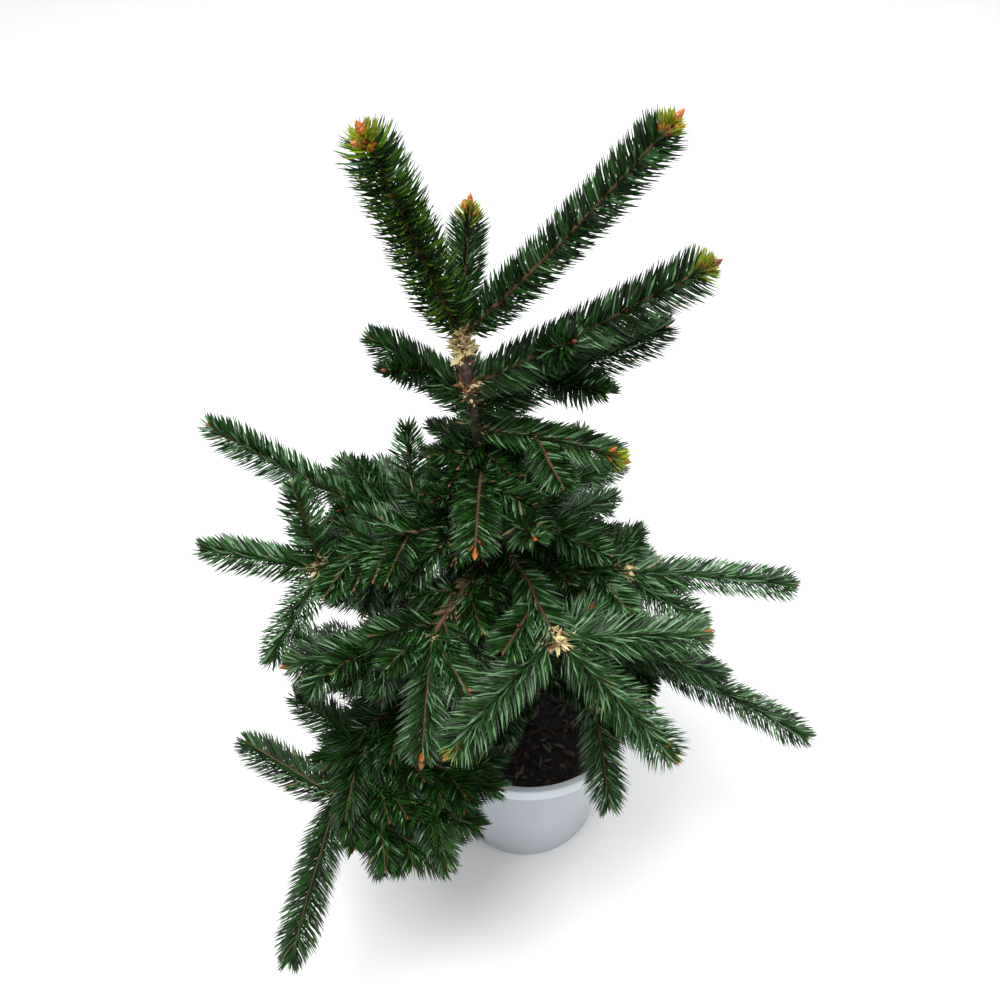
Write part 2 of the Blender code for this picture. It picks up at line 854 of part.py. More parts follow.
def build_plant():
    bark = material("bark", (0.085, 0.045, 0.025), 0.85)
    twig_bark = material("twig_bark", (0.16, 0.075, 0.035), 0.8)
    build_trunk(bark)
    for bough in BOUGHS:
        build_bough(bough, twig_bark)
    by_mass = {mass.name: run_out(mass) for mass in MASSES}
    everything = [shoot for shoots in by_mass.values() for shoot in shoots]
    for number, mass in enumerate(MASSES):
        add_twigs(mass, by_mass[mass.name], everything, random.Random(TWIG_SEED + number))
    space = Space(everything)
    for mass in MASSES:
        green = material(mass.name, (0.022, 0.085, 0.038), 0.6)
        build_mass(mass, by_mass[mass.name], everything, space, green)


def main():
    clear_scene()
    build_pot(material("pot_plastic", (0.70, 0.73, 0.74), 0.45))
    build_compost(material("compost", (0.028, 0.018, 0.013), 0.95))
    build_plant()


main()
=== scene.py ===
"""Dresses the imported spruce: bark, twigs, needles, buds, its pot and the light around it.

Metres, +Z up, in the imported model's own frame. The limbs and shoots are grown by the same
rule and from the same sizes as the solids, and are then carried on to finer twigs.
"""

import math
import random
from dataclasses import dataclass, field

import bmesh
import bpy
import numpy as np
from bpy.props import FloatProperty, FloatVectorProperty, IntProperty, PointerProperty
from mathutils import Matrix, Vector, noise


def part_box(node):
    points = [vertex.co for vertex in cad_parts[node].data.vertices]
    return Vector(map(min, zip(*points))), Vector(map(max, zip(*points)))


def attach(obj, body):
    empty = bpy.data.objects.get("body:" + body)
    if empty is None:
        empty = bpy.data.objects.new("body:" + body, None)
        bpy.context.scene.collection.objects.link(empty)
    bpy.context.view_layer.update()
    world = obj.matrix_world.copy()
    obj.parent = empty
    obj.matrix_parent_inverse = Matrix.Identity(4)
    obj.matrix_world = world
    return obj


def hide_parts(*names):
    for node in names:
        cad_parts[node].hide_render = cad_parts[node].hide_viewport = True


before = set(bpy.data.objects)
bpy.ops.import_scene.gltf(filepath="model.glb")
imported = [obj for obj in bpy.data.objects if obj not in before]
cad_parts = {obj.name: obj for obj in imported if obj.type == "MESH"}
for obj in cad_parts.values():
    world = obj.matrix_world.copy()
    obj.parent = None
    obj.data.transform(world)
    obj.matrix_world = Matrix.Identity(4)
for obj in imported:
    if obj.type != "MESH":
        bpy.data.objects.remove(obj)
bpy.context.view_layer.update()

bl_info = {
    "name": "Potted spruce",
    "version": (1, 0, 0),
    "blender": (4, 5, 0),
    "location": "View3D > Sidebar > Spruce",
    "description": "Grows bark, twigs, needles and buds on the limbs of a potted spruce",
    "category": "Object",
}

POT_LOW, POT_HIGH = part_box("pot")
TRUNK_LOW, TRUNK_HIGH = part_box("trunk")

# The pot, as in the solids
POT_HEIGHT = POT_HIGH[2]
RIM_RADIUS = POT_HIGH[0]
RIM_DEPTH = 0.013
RIM_OVERHANG = 0.0045
POT_FOOT_RADIUS = 0.067
POT_WALL = 0.0016
POT_FLOOR = 0.0020
DRAIN_HOLES = 6
DRAIN_RADIUS = 0.0055
DRAIN_CIRCLE = 0.046
DRAIN_TURN = 0.27

# The trunk, from the flat cut on the compost to the top whorl
TRUNK_FOOT = TRUNK_LOW[2]
TRUNK_TOP = TRUNK_HIGH[2]
TRUNK_LEAN = 0.049
TRUNK_FOOT_RADIUS = 0.0068
TRUNK_TIP_RADIUS = 0.0034
FLARE_RADIUS = 0.0115
FLARE_HEIGHT = 0.012
WHORL_SWELLING = 0.14
WHORL_REACH = 0.007
WHORL_HEIGHTS = (0.245, 0.365, 0.395, 0.505)
TRUNK_RINGS = 16
RING_CROWDING = 1.4

# Boughs, stems and shoots
GAP = 0.0003
BOUGH_RINGS = 4
BOUGH_FOOT_RADIUS = 0.0031
BOUGH_TIP_RADIUS = 0.0024
COLLAR = 1.35
STEM_RADIUS = 0.0021
SHOOT_FOOT_RADIUS = 0.0018
SHOOT_TIP_RADIUS = 0.0012
NEEDLE_STEP = 0.0130

# Side twigs that the seeded rule adds to a stem, as in the solids
TWIG_SEED = 41
TWIG_TURN = 52
TWIG_SPREAD = 10
TWIG_RISES = (-8, 14)
TWIG_LENGTHS = (0.034, 0.052)
TWIG_FIRST = 0.30
TWIG_STRETCH = 0.55
TWIG_NEEDLE = 0.9
TWIG_ROOM = 0.009

# Finer twigs that only this script grows, within the same reach
FINE_SEED = 97
FINE_LENGTHS = (0.028, 0.058)
FINE_ROOM = 0.0050
FINE_TRIES = 3
FINE_RADIUS = 0.0010
FINE_NEEDLE = 0.82
FINE_SPACING = 0.012
TWIGGY_TRUNK = (0.19, 0.465)
CLOTHED_TRUNK = (0.34, 0.51)

# The length of a shoot's bare foot, and what a needle at its tip loses in length
SHOOT_BARE = 0.003
TIP_SHORTENING = 0.46
BLUNT_SHORTENING = 0.66

# How many buds at its tip make a shoot end bluntly
BLUNT_BUDS = 4

# How long the finer twigs on a shoot are against those on a limb
BUSHY_SHARE = 0.75

# The turn from each needle to the next, round a spiral that never lines up
GOLDEN_TURN = math.radians(137.508)

# The way to the viewer of the photo, and how squarely a needle has to face it to count
# as standing on the front of its shoot
FRONT = Vector((0.0, -0.72, 0.69))
FRONT_FACING = 0.62

# The most needles that one piece may hold
NEEDLES_A_PIECE = 19000


@dataclass(frozen=True)
class Run:
    """A limb or shoot: its bearing and rise in degrees taken over the whole of it, its
    length, how many degrees its rise falls by on the way, how far along the stem of its
    mass it starts, how long its needles are against the rest of the mass, whether it
    carries finer twigs of its own, and its tint where that isn't its mass's."""

    bearing: float
    rise: float
    length: float
    droop: float = 0.0
    at: float = 1.0
    full: float = 1.0
    bushy: bool = False
    tint: str = ""


@dataclass(frozen=True)
class Bough:
    """A bare tapering limb whose foot is at this height on the trunk."""

    name: str
    height: float
    run: Run


@dataclass(frozen=True)
class Mass:
    """Foliage that grows on from a bough's tip, or from the trunk at a height, with the
    needles' length, the number of side twigs that the rule tries, how its sprays are
    coloured, how far back from its tips the needles are yellow-green, how far back they
    are shorter, how many buds ring its tips and how long they are, the share of dead
    needles on its limb, how close its needles stand, the share of them that is missing on
    the front of its shoots, how big the ruff of dry scales round its fork is, and whether
    the limb carries finer twigs."""

    name: str
    carrier: str
    stem: Run
    shoots: tuple = ()
    twigs: int = 0
    needle: float = 0.021
    height: float = 0.0
    bare: float = 0.0
    tint: str = "green"
    fresh: float = 0.0
    tip: float = 0.022
    buds: int = 1
    bud_length: float = 0.0050
    dead: float = 0.03
    crowding: float = 1.0
    parted: float = 0.0
    ruff: float = 0.8
    twiggy: bool = True


BOUGHS = (
    Bough("bough_right_upper", 0.392, Run(0, -18, 0.026)),
    Bough("bough_left_upper", 0.370, Run(160, -2, 0.058)),
    Bough("bough_left", 0.385, Run(200, 9, 0.059)),
    Bough("bough_front_left", 0.360, Run(242, -1, 0.078, droop=10)),
    Bough("bough_front", 0.370, Run(294, 6, 0.050)),
    Bough("bough_right", 0.360, Run(342, 2, 0.058)),
    Bough("bough_right_middle", 0.300, Run(330, -5, 0.070)),
    Bough("bough_right_low", 0.250, Run(350, -7, 0.058)),
    Bough("bough_front_right_low", 0.230, Run(321, -2, 0.076, droop=12)),
    Bough("bough_left_low", 0.220, Run(218, 14, 0.136, droop=30)),
    Bough("bough_left_middle", 0.258, Run(192, -12, 0.080, droop=20)),
    Bough("bough_back", 0.322, Run(92, 8, 0.075, droop=14)),
    Bough("bough_back_right", 0.350, Run(56, 4, 0.066, droop=12)),
    Bough("bough_back_left", 0.342, Run(136, 4, 0.070, droop=12)),
    Bough("bough_back_low", 0.265, Run(104, 6, 0.080, droop=18)),
    Bough("bough_back_right_low", 0.240, Run(34, 6, 0.080, droop=18)),
    Bough("bough_back_left_low", 0.238, Run(150, 6, 0.080, droop=18)),
)

MASSES = (
    Mass(
        "foliage_top",
        "trunk_tip",
        Run(188, 83, 0.008),
        (
            Run(211, 70, 0.160, full=1.18, tint="lively"),
            Run(82, 56, 0.082, full=0.86),
            Run(0, 50, 0.189, droop=-8),
        ),
        bare=0.008,
        tint="dark",
        fresh=0.014,
        tip=0.016,
        buds=10,
        bud_length=0.0100,
        crowding=1.5,
        parted=0.55,
        ruff=1.7,
    ),
    Mass(
        "foliage_upper_right",
        "trunk",
        Run(0, 32, 0.176, droop=-4),
        twigs=1,
        height=0.513,
        needle=0.0235,
        tint="dark",
        fresh=0.017,
        tip=0.015,
        buds=9,
        bud_length=0.0095,
        crowding=1.4,
        parted=0.55,
    ),
    Mass(
        "foliage_upper_back_right",
        "trunk",
        Run(17, 16, 0.142),
        twigs=1,
        needle=0.025,
        height=0.493,
        tint="dark",
        crowding=1.35,
    ),
    Mass("foliage_upper_left", "trunk", Run(163, 26, 0.076), twigs=1, height=0.505, tint="dark", crowding=1.3),
    Mass("foliage_upper_back", "trunk", Run(98, 16, 0.094, droop=10), twigs=1, height=0.452, tint="dark"),
    Mass(
        "foliage_middle_right",
        "trunk",
        Run(343, 0, 0.103, droop=26),
        twigs=1,
        height=0.475,
        fresh=0.012,
        tip=0.014,
        buds=8,
        bud_length=0.0090,
        parted=0.4,
    ),
    Mass(
        "foliage_upper_front",
        "trunk",
        Run(268, 7, 0.100, droop=36),
        twigs=1,
        height=0.445,
        tip=0.013,
        buds=4,
        bud_length=0.0085,
    ),
    Mass("foliage_middle_front", "trunk", Run(289, 25, 0.105), twigs=1, height=0.416),
    Mass("foliage_middle_front_left", "trunk", Run(220, -18, 0.093), twigs=1, height=0.405),
    Mass(
        "foliage_right_upper",
        "bough_right_upper",
        Run(0, -12, 0.008),
        (Run(37, -12, 0.080), Run(358, -8, 0.054), Run(322, 8, 0.066)),
        bare=0.008,
    ),
    Mass(
        "foliage_left_upper",
        "bough_left_upper",
        Run(180, 21, 0.064, droop=-14),
        (Run(174, 34, 0.113, droop=-8), Run(96, 54, 0.070, at=0.15)),
        twigs=3,
        tint="light",
    ),
    Mass(
        "foliage_left",
        "bough_left",
        Run(204, -5, 0.074),
        (Run(126, 67, 0.067), Run(179, 13, 0.083), Run(216, -52, 0.084)),
        twigs=3,
        tint="light",
        ruff=1.3,
    ),
    Mass(
        "foliage_front_left",
        "bough_front_left",
        Run(242, -4, 0.020),
        (Run(188, -9, 0.104, bushy=True), Run(266, -26, 0.086, droop=14), Run(303, -15, 0.052)),
        needle=0.024,
        bare=0.020,
        tip=0.015,
        buds=4,
        bud_length=0.0090,
        dead=0.62,
        ruff=0.6,
    ),
    Mass(
        "foliage_front",
        "bough_front",
        Run(291, -3, 0.059),
        (
            Run(220, -27, 0.106, droop=16),
            Run(329, -36, 0.120, droop=12),
            Run(11, -12, 0.114, droop=8),
            Run(52, -19, 0.052),
        ),
        twigs=1,
        needle=0.024,
        tint="light",
        fresh=0.005,
        tip=0.014,
        buds=4,
        bud_length=0.0100,
        ruff=1.8,
        twiggy=False,
    ),
    Mass(
        "foliage_right",
        "bough_right",
        Run(342, 2, 0.039),
        (Run(6, -13, 0.140, droop=8), Run(346, -33, 0.079)),
        twigs=2,
        tint="light",
        tip=0.013,
        buds=4,
        bud_length=0.0090,
        ruff=1.4,
    ),
    Mass(
        "foliage_right_middle",
        "bough_right_middle",
        Run(331, -5, 0.020),
        (Run(352, -12, 0.094, droop=8), Run(20, -14, 0.090)),
    ),
    Mass(
        "foliage_right_low",
        "bough_right_low",
        Run(350, -3, 0.058),
        (Run(343, -20, 0.146, droop=16), Run(14, -26, 0.064)),
        twigs=3,
        tint="light",
    ),
    Mass(
        "foliage_front_right_low",
        "bough_front_right_low",
        Run(300, -8, 0.010),
        (Run(277, -24, 0.078, droop=18), Run(332, -10, 0.050)),
        needle=0.023,
        twiggy=False,
    ),
    Mass("foliage_front_low", "trunk", Run(257, 14, 0.088, droop=20), twigs=1, height=0.190, tint="light"),
    Mass(
        "foliage_left_low",
        "bough_left_low",
        Run(229, -39, 0.077, droop=18),
        (
            Run(254, -27, 0.122, droop=10),
            Run(150, 5, 0.090),
            Run(331, -11, 0.100, droop=8, bushy=True),
            Run(340, -3, 0.108, at=0.35, bushy=True),
            Run(152, 24, 0.066, at=0.4),
            Run(338, -6, 0.108, at=0.7, bushy=True),
        ),
        needle=0.023,
        tint="shade",
        ruff=1.0,
    ),
    Mass(
        "foliage_left_middle",
        "bough_left_middle",
        Run(190, -26, 0.024),
        (Run(188, -36, 0.050), Run(226, -24, 0.046), Run(152, -16, 0.058)),
        tint="dark",
    ),
    Mass(
        "foliage_back",
        "bough_back",
        Run(90, 2, 0.030),
        (Run(66, 4, 0.070), Run(112, 6, 0.072), Run(90, -22, 0.074)),
        tint="dark",
    ),
    Mass(
        "foliage_back_right",
        "bough_back_right",
        Run(54, -2, 0.030),
        (Run(36, -14, 0.064), Run(76, 0, 0.066), Run(54, -28, 0.066)),
        tint="dark",
    ),
    Mass(
        "foliage_back_left",
        "bough_back_left",
        Run(138, 0, 0.030),
        (Run(162, 0, 0.074), Run(122, -10, 0.062), Run(140, -28, 0.070)),
        tint="dark",
    ),
    Mass(
        "foliage_back_low",
        "bough_back_low",
        Run(102, -8, 0.034),
        (Run(80, -14, 0.076), Run(126, -12, 0.074), Run(100, -32, 0.070)),
    ),
    Mass(
        "foliage_back_right_low",
        "bough_back_right_low",
        Run(34, -6, 0.030),
        (Run(14, -16, 0.070), Run(58, -18, 0.070), Run(34, -34, 0.066)),
    ),
    Mass(
        "foliage_back_left_low",
        "bough_back_left_low",
        Run(152, -6, 0.030),
        (Run(174, -14, 0.074), Run(132, -12, 0.076), Run(154, -32, 0.070)),
    ),
)

# Short twigs and needles that clothe the trunk itself
INNER_TINTS = {"light": "dark", "green": "dark", "dark": "dark", "shade": "shade"}
TRUNK_SPRAYS = Mass("trunk_sprays", "trunk", Run(0, 0, 0), needle=0.019, tint="dark")

# How a spray's needles are dealt out among the greens, by the tint of its mass. The "light" tint is painted light: it
# gives the outer sprays, where more light falls, fewer old needles and more of the pale ones.
TINT_SHARES = {
    "lively": {"needles_old": 0.36, "needles_green": 0.24, "needles_lively": 0.36, "needles_pale": 0.04},
    "dark": {"needles_old": 0.53, "needles_green": 0.38, "needles_pale": 0.09},
    "shade": {"needles_old": 0.46, "needles_green": 0.50, "needles_pale": 0.04},
    "green": {"needles_old": 0.40, "needles_green": 0.44, "needles_pale": 0.16},
    "light": {"needles_old": 0.26, "needles_green": 0.46, "needles_pale": 0.28},
}
STRAW_SHARE = 0.003


# Growth: the lines of trunk, boughs, stems and shoots


def heading(bearing, rise):
    turn = math.radians(bearing)
    lift = math.radians(rise)
    return Vector((math.cos(lift) * math.cos(turn), math.cos(lift) * math.sin(turn), math.sin(lift)))


def follow(start, run, steps):
    """Points along a run, whose rise falls evenly from its foot to its tip."""
    points = [Vector(start)]
    for step in range(steps):
        along = (step + 0.5) / steps
        rise = run.rise + run.droop * (0.5 - along)
        points.append(points[-1] + heading(run.bearing, rise) * (run.length / steps))
    return points


def trunk_point(height):
    along = (height - TRUNK_FOOT) / (TRUNK_TOP - TRUNK_FOOT)
    return Vector((-TRUNK_LEAN * along, 0.0, height))


def trunk_radius(height):
    along = (height - TRUNK_FOOT) / (TRUNK_TOP - TRUNK_FOOT)
    taper = TRUNK_FOOT_RADIUS + (TRUNK_TIP_RADIUS - TRUNK_FOOT_RADIUS) * along
    flare = (FLARE_RADIUS - TRUNK_FOOT_RADIUS) * math.exp(-(height - TRUNK_FOOT) / FLARE_HEIGHT)
    swelling = 1.0
    for whorl in WHORL_HEIGHTS:
        swelling += WHORL_SWELLING * math.exp(-(((height - whorl) / WHORL_REACH) ** 2))
    return taper * swelling + flare


def trunk_heights():
    """Ring heights, close together over the root flare."""
    span = TRUNK_TOP - TRUNK_FOOT
    shares = [(ring / TRUNK_RINGS) ** RING_CROWDING for ring in range(TRUNK_RINGS + 1)]
    return [TRUNK_FOOT + span * share for share in shares]


def cross_frames(path):
    """A pair of directions across the path at each of its points, carried along unturned."""
    frames = []
    across = None
    for index, point in enumerate(path):
        behind = path[max(index - 1, 0)]
        ahead = path[min(index + 1, len(path) - 1)]
        along = (ahead - behind).normalized()
        if across is None:
            across = along.orthogonal().normalized()
        across = (across - along * across.dot(along)).normalized()
        frames.append((across, along.cross(across), along))
    return frames


def bough_path(bough):
    return follow(trunk_point(bough.height), bough.run, BOUGH_RINGS)


def bough_radius(along):
    """Even taper, with a collar where the limb leaves the trunk."""
    radius = BOUGH_FOOT_RADIUS + (BOUGH_TIP_RADIUS - BOUGH_FOOT_RADIUS) * along
    return radius * (1 + (COLLAR - 1) * max(1 - along * BOUGH_RINGS, 0.0))


@dataclass(eq=False)
class Shoot:
    """A shoot with its place worked out: its line, and how it is dressed."""

    mass: Mass
    path: list
    needle: float
    foot_radius: float
    is_stem: bool = False
    forks: bool = False
    side: bool = False
    fine: bool = False
    limb: bool = False
    bushy: bool = False
    bare: float = 0.0
    tint: str = ""


def steps_for(length):
    return max(3, round(length / NEEDLE_STEP))


def point_along(path, fraction):
    place = fraction * (len(path) - 1)
    index = min(int(place), len(path) - 2)
    return path[index].lerp(path[index + 1], place - index)


def smoothed(path, finer):
    """The same line through the same points, rounded and cut finer."""
    points = []
    for index in range(len(path) - 1):
        before = path[max(index - 1, 0)]
        low, high = path[index], path[index + 1]
        after = path[min(index + 2, len(path) - 1)]
        for part in range(finer):
            t = part / finer
            bend = low * 2 + (high - before) * t + (before * 2 - low * 5 + high * 4 - after) * t**2
            points.append((bend + (low * 3 - before - high * 3 + after) * t**3) / 2)
    points.append(path[-1].copy())
    return points


def stem_start(mass):
    """Where a mass's stem begins: the trunk's line, or just past the end of its limb."""
    if mass.carrier == "trunk":
        return trunk_point(mass.height)
    if mass.carrier == "trunk_tip":
        return trunk_point(TRUNK_TOP) + Vector((0, 0, GAP))
    limb = next(bough for bough in BOUGHS if bough.name == mass.carrier)
    path = bough_path(limb)
    return path[-1] + (path[-1] - path[-2]).normalized() * GAP


def run_out(mass):
    """The stem of a mass and the shoots that the tree's own habit gives it."""
    start = stem_start(mass)
    path = follow(start, mass.stem, steps_for(mass.stem.length))
    if mass.carrier.startswith("bough"):
        limb = next(bough for bough in BOUGHS if bough.name == mass.carrier)
        path[1] = start + (start - bough_path(limb)[-2]).normalized() * (path[1] - path[0]).length
    forks = any(run.at == 1.0 for run in mass.shoots)
    shoots = [Shoot(mass, path, mass.needle, STEM_RADIUS, is_stem=True, forks=forks, bare=mass.bare)]
    for run in mass.shoots:
        line = follow(point_along(path, run.at), run, steps_for(run.length))
        needle = mass.needle * run.full
        shoots.append(Shoot(mass, line, needle, SHOOT_FOOT_RADIUS, bushy=run.bushy, tint=run.tint))
    return shoots


def segments(shoots):
    """Every shoot's line as straight pieces: their starts, their ends and their owners."""
    starts, ends, owners = [], [], []
    for number, shoot in enumerate(shoots):
        for low, high in zip(shoot.path, shoot.path[1:]):
            starts.append(low)
            ends.append(high)
            owners.append(number)
    return np.array(starts), np.array(ends), np.array(owners)


def limb_segments():
    """The trunk and the boughs as straight pieces with a radius."""
    starts, ends, radii = [], [], []
    heights = trunk_heights()
    for low, high in zip(heights, heights[1:]):
        starts.append(trunk_point(low))
        ends.append(trunk_point(high))
        radii.append(max(trunk_radius(low), trunk_radius(high)))
    for bough in BOUGHS:
        path = bough_path(bough)
        for ring, (low, high) in enumerate(zip(path, path[1:])):
            starts.append(low)
            ends.append(high)
            radii.append(bough_radius(ring / BOUGH_RINGS))
    return np.array(starts), np.array(ends), np.array(radii)


def distances(points, starts, ends):
    """From every point to every straight piece."""
    spans = ends - starts
    offsets = points[:, None, :] - starts[None, :, :]
    along = np.einsum("psk,sk->ps", offsets, spans) / np.einsum("sk,sk->s", spans, spans)
    along = np.clip(along, 0.0, 1.0)
    return np.linalg.norm(offsets - along[:, :, None] * spans[None, :, :], axis=2)


def add_twigs(mass, shoots, everything, rng):
    """The seeded rule of the solids: side twigs to the left and right of the stem in
    turn, kept only where they have room among the limbs and the other shoots."""
    stem = shoots[0]
    starts, ends, owners = segments(everything)
    limb_starts, limb_ends, limb_radii = limb_segments()
    side = rng.choice((-1, 1))
    for number in range(mass.twigs):
        at = TWIG_FIRST + TWIG_STRETCH * (number + rng.random() * 0.5) / mass.twigs
        turn = side * (TWIG_TURN + rng.uniform(-TWIG_SPREAD, TWIG_SPREAD))
        length = rng.uniform(*TWIG_LENGTHS)
        rise = mass.stem.rise + rng.uniform(*TWIG_RISES)
        run = Run(mass.stem.bearing + turn, rise, length)
        line = follow(point_along(stem.path, at), run, steps_for(length))
        outer = np.array(line[2:])
        others = owners != everything.index(stem)
        room = distances(outer, starts[others], ends[others]).min()
        limb_room = (distances(outer, limb_starts, limb_ends) - limb_radii).min()
        if min(room, limb_room) > TWIG_ROOM:
            shoots.append(Shoot(mass, line, mass.needle * TWIG_NEEDLE, SHOOT_FOOT_RADIUS, side=True))
            everything.append(shoots[-1])
        side = -side


def in_pot(points, margin=0.001):
    """Which points are inside the pot or its compost, or closer to them than the margin."""
    near_axis = np.hypot(points[:, 0], points[:, 1]) < RIM_RADIUS + margin
    return near_axis & (points[:, 2] < POT_HEIGHT + margin)


def carrying_lines(everything):
    """The lines that finer twigs may leave: the boughs, their stems, the trunk and the
    bushy shoots. Each comes with its mass, the span that it carries them on, and how long
    they are against the rest."""
    lines = []
    for bough in BOUGHS:
        mass = next(mass for mass in MASSES if mass.carrier == bough.name)
        lines.append((mass, smoothed(bough_path(bough), 4), (0.22, 0.98), 1.0))
    for shoot in everything:
        if shoot.is_stem and shoot.mass.carrier.startswith("bough"):
            lines.append((shoot.mass, shoot.path, (0.05, 0.80), 1.0))
    lines.append((TRUNK_SPRAYS, [trunk_point(height) for height in TWIGGY_TRUNK], (0.0, 1.0), 1.0))
    for shoot in everything:
        if shoot.bushy:
            lines.append((shoot.mass, shoot.path, (0.08, 0.72), BUSHY_SHARE))
    return [line for line in lines if line[0].twiggy]


def fine_aim(mass, path, at, number, rng):
    """The way a finer twig points: left and right in turn, or any way round the trunk."""
    ahead = point_along(path, min(at + 0.05, 1.0))
    along = (ahead - point_along(path, max(at - 0.05, 0.0))).normalized()
    level = along.cross(Vector((0, 0, 1)))
    if mass is TRUNK_SPRAYS or level.length < 0.3:
        return heading(math.degrees(number * GOLDEN_TURN) + rng.uniform(-20, 20), rng.uniform(-12, 34))
    side = level.normalized() * (1 if number % 2 else -1)
    lift = side.cross(along) * rng.uniform(-0.75, 0.75)
    return (side * rng.uniform(0.7, 1.0) + along * rng.uniform(0.6, 1.0) + lift).normalized()


def add_fine_twigs(everything, rng):
    """Short twigs left and right of every line that has room for them."""
    starts, ends, _ = segments(everything)
    limb_starts, limb_ends, limb_radii = limb_segments()
    grown = []
    for mass, path, (first, last), share in carrying_lines(everything):
        length = sum((high - low).length for low, high in zip(path, path[1:]))
        spacing = FINE_SPACING * (0.35 if mass is TRUNK_SPRAYS else 1.0)
        places = int(length * (last - first) / spacing)
        for number in range(places * FINE_TRIES):
            at = first + (last - first) * (number + rng.random()) / (places * FINE_TRIES)
            foot = point_along(path, at)
            aim = fine_aim(mass, path, at, number, rng)
            reach = rng.uniform(*FINE_LENGTHS) * share
            sag = Vector((0, 0, -0.14 * reach))
            line = [foot + aim * reach * part + sag * part**2 for part in (0.0, 0.3, 0.65, 1.0)]
            outer = np.array(line[2:])
            room = distances(outer, starts, ends).min()
            limb_room = (distances(outer, limb_starts, limb_ends) - limb_radii).min()
            if min(room, limb_room) < FINE_ROOM or in_pot(outer, 0.008).any():
                continue
            needle = mass.needle * FINE_NEEDLE
            tint = INNER_TINTS[mass.tint]
            grown.append(Shoot(mass, line, needle, FINE_RADIUS, side=True, fine=True, tint=tint))
            new_starts, new_ends, _ = segments(grown[-1:])
            starts = np.concatenate([starts, new_starts[1:]])
            ends = np.concatenate([ends, new_ends[1:]])
    return grown


def clothed_limbs():
    """The boughs and the trunk's upper half, as lines that carry a thinner coat of needles."""
    limbs = []
    for bough in BOUGHS:
        mass = next(mass for mass in MASSES if mass.carrier == bough.name)
        line = smoothed(bough_path(bough), 4)
        needle = mass.needle * (0.8 - 0.5 * mass.dead)
        limb = Shoot(mass, line, needle, BOUGH_TIP_RADIUS, forks=True, fine=True, limb=True, bare=0.012)
        limb.tint = INNER_TINTS[mass.tint]
        limbs.append(limb)
    low, high = CLOTHED_TRUNK
    line = [trunk_point(low + (high - low) * step / 12) for step in range(13)]
    sprays = TRUNK_SPRAYS
    limbs.append(Shoot(sprays, line, sprays.needle * 0.8, TRUNK_TIP_RADIUS, forks=True, fine=True, limb=True))
    return limbs


def grow():
    """Every shoot of the tree: those of the solids, then the finer ones."""
    by_mass = {mass.name: run_out(mass) for mass in MASSES}
    everything = [shoot for shoots in by_mass.values() for shoot in shoots]
    for number, mass in enumerate(MASSES):
        add_twigs(mass, by_mass[mass.name], everything, random.Random(TWIG_SEED + number))
    everything += add_fine_twigs(everything, random.Random(FINE_SEED))
    for shoot in everything:
        shoot.path = smoothed(shoot.path, 3)
    return everything


# Where needles, buds and scales stand


@dataclass
class Stand:
    """Places for one kind of small piece: where each stands, the way it points, which
    way its bent side faces, its length, and how wide it is against the rest."""

    spots: list = field(default_factory=list)
    aims: list = field(default_factory=list)
    faces: list = field(default_factory=list)
    reaches: list = field(default_factory=list)
    girths: list = field(default_factory=list)

    def add(self, spot, aim, face, reach, girth=1.0):
        self.spots.append(spot)
        self.aims.append(aim)
        self.faces.append(face)
        self.reaches.append(reach)
        self.girths.append(girth)

    def kept(self, keep):
        """The same stand with only the places that the mask keeps."""
        chosen = [[item for item, stays in zip(items, keep) if stays] for items in vars(self).values()]
        return Stand(*chosen)

    def dealt(self, most):
        """The same places dealt out evenly to as few stands as hold no more than this."""
        hands = math.ceil(len(self.spots) / most)
        return [Stand(*[items[hand::hands] for items in vars(self).values()]) for hand in range(hands)]


def shoot_radius(shoot, along):
    if shoot.forks:
        return shoot.foot_radius
    tip = min(SHOOT_TIP_RADIUS, shoot.foot_radius)
    return shoot.foot_radius + (tip - shoot.foot_radius) * along


def upright(along):
    """The direction nearest to up that is square to the way along."""
    up = Vector((0, 0, 1)) - along * along.z
    return up.normalized() if up.length > 0.05 else along.orthogonal().normalized()


def needle_kind(shoot, from_tip, rng):
    """The green that one needle takes: yellow-green near the tip, or its spray's own."""
    fresh = 0.0 if shoot.forks or shoot.side else shoot.mass.fresh
    if from_tip < fresh and rng.random() < 1.5 * (1 - from_tip / fresh):
        return "needles_fresh"
    if rng.random() < (shoot.mass.dead if shoot.limb else STRAW_SHARE * (2.0 if shoot.fine else 1.0)):
        return "needles_straw"
    draw = rng.random()
    for kind, share in TINT_SHARES[shoot.tint or shoot.mass.tint].items():
        draw -= share
        if draw < 0:
            return kind
    return "needles_green"


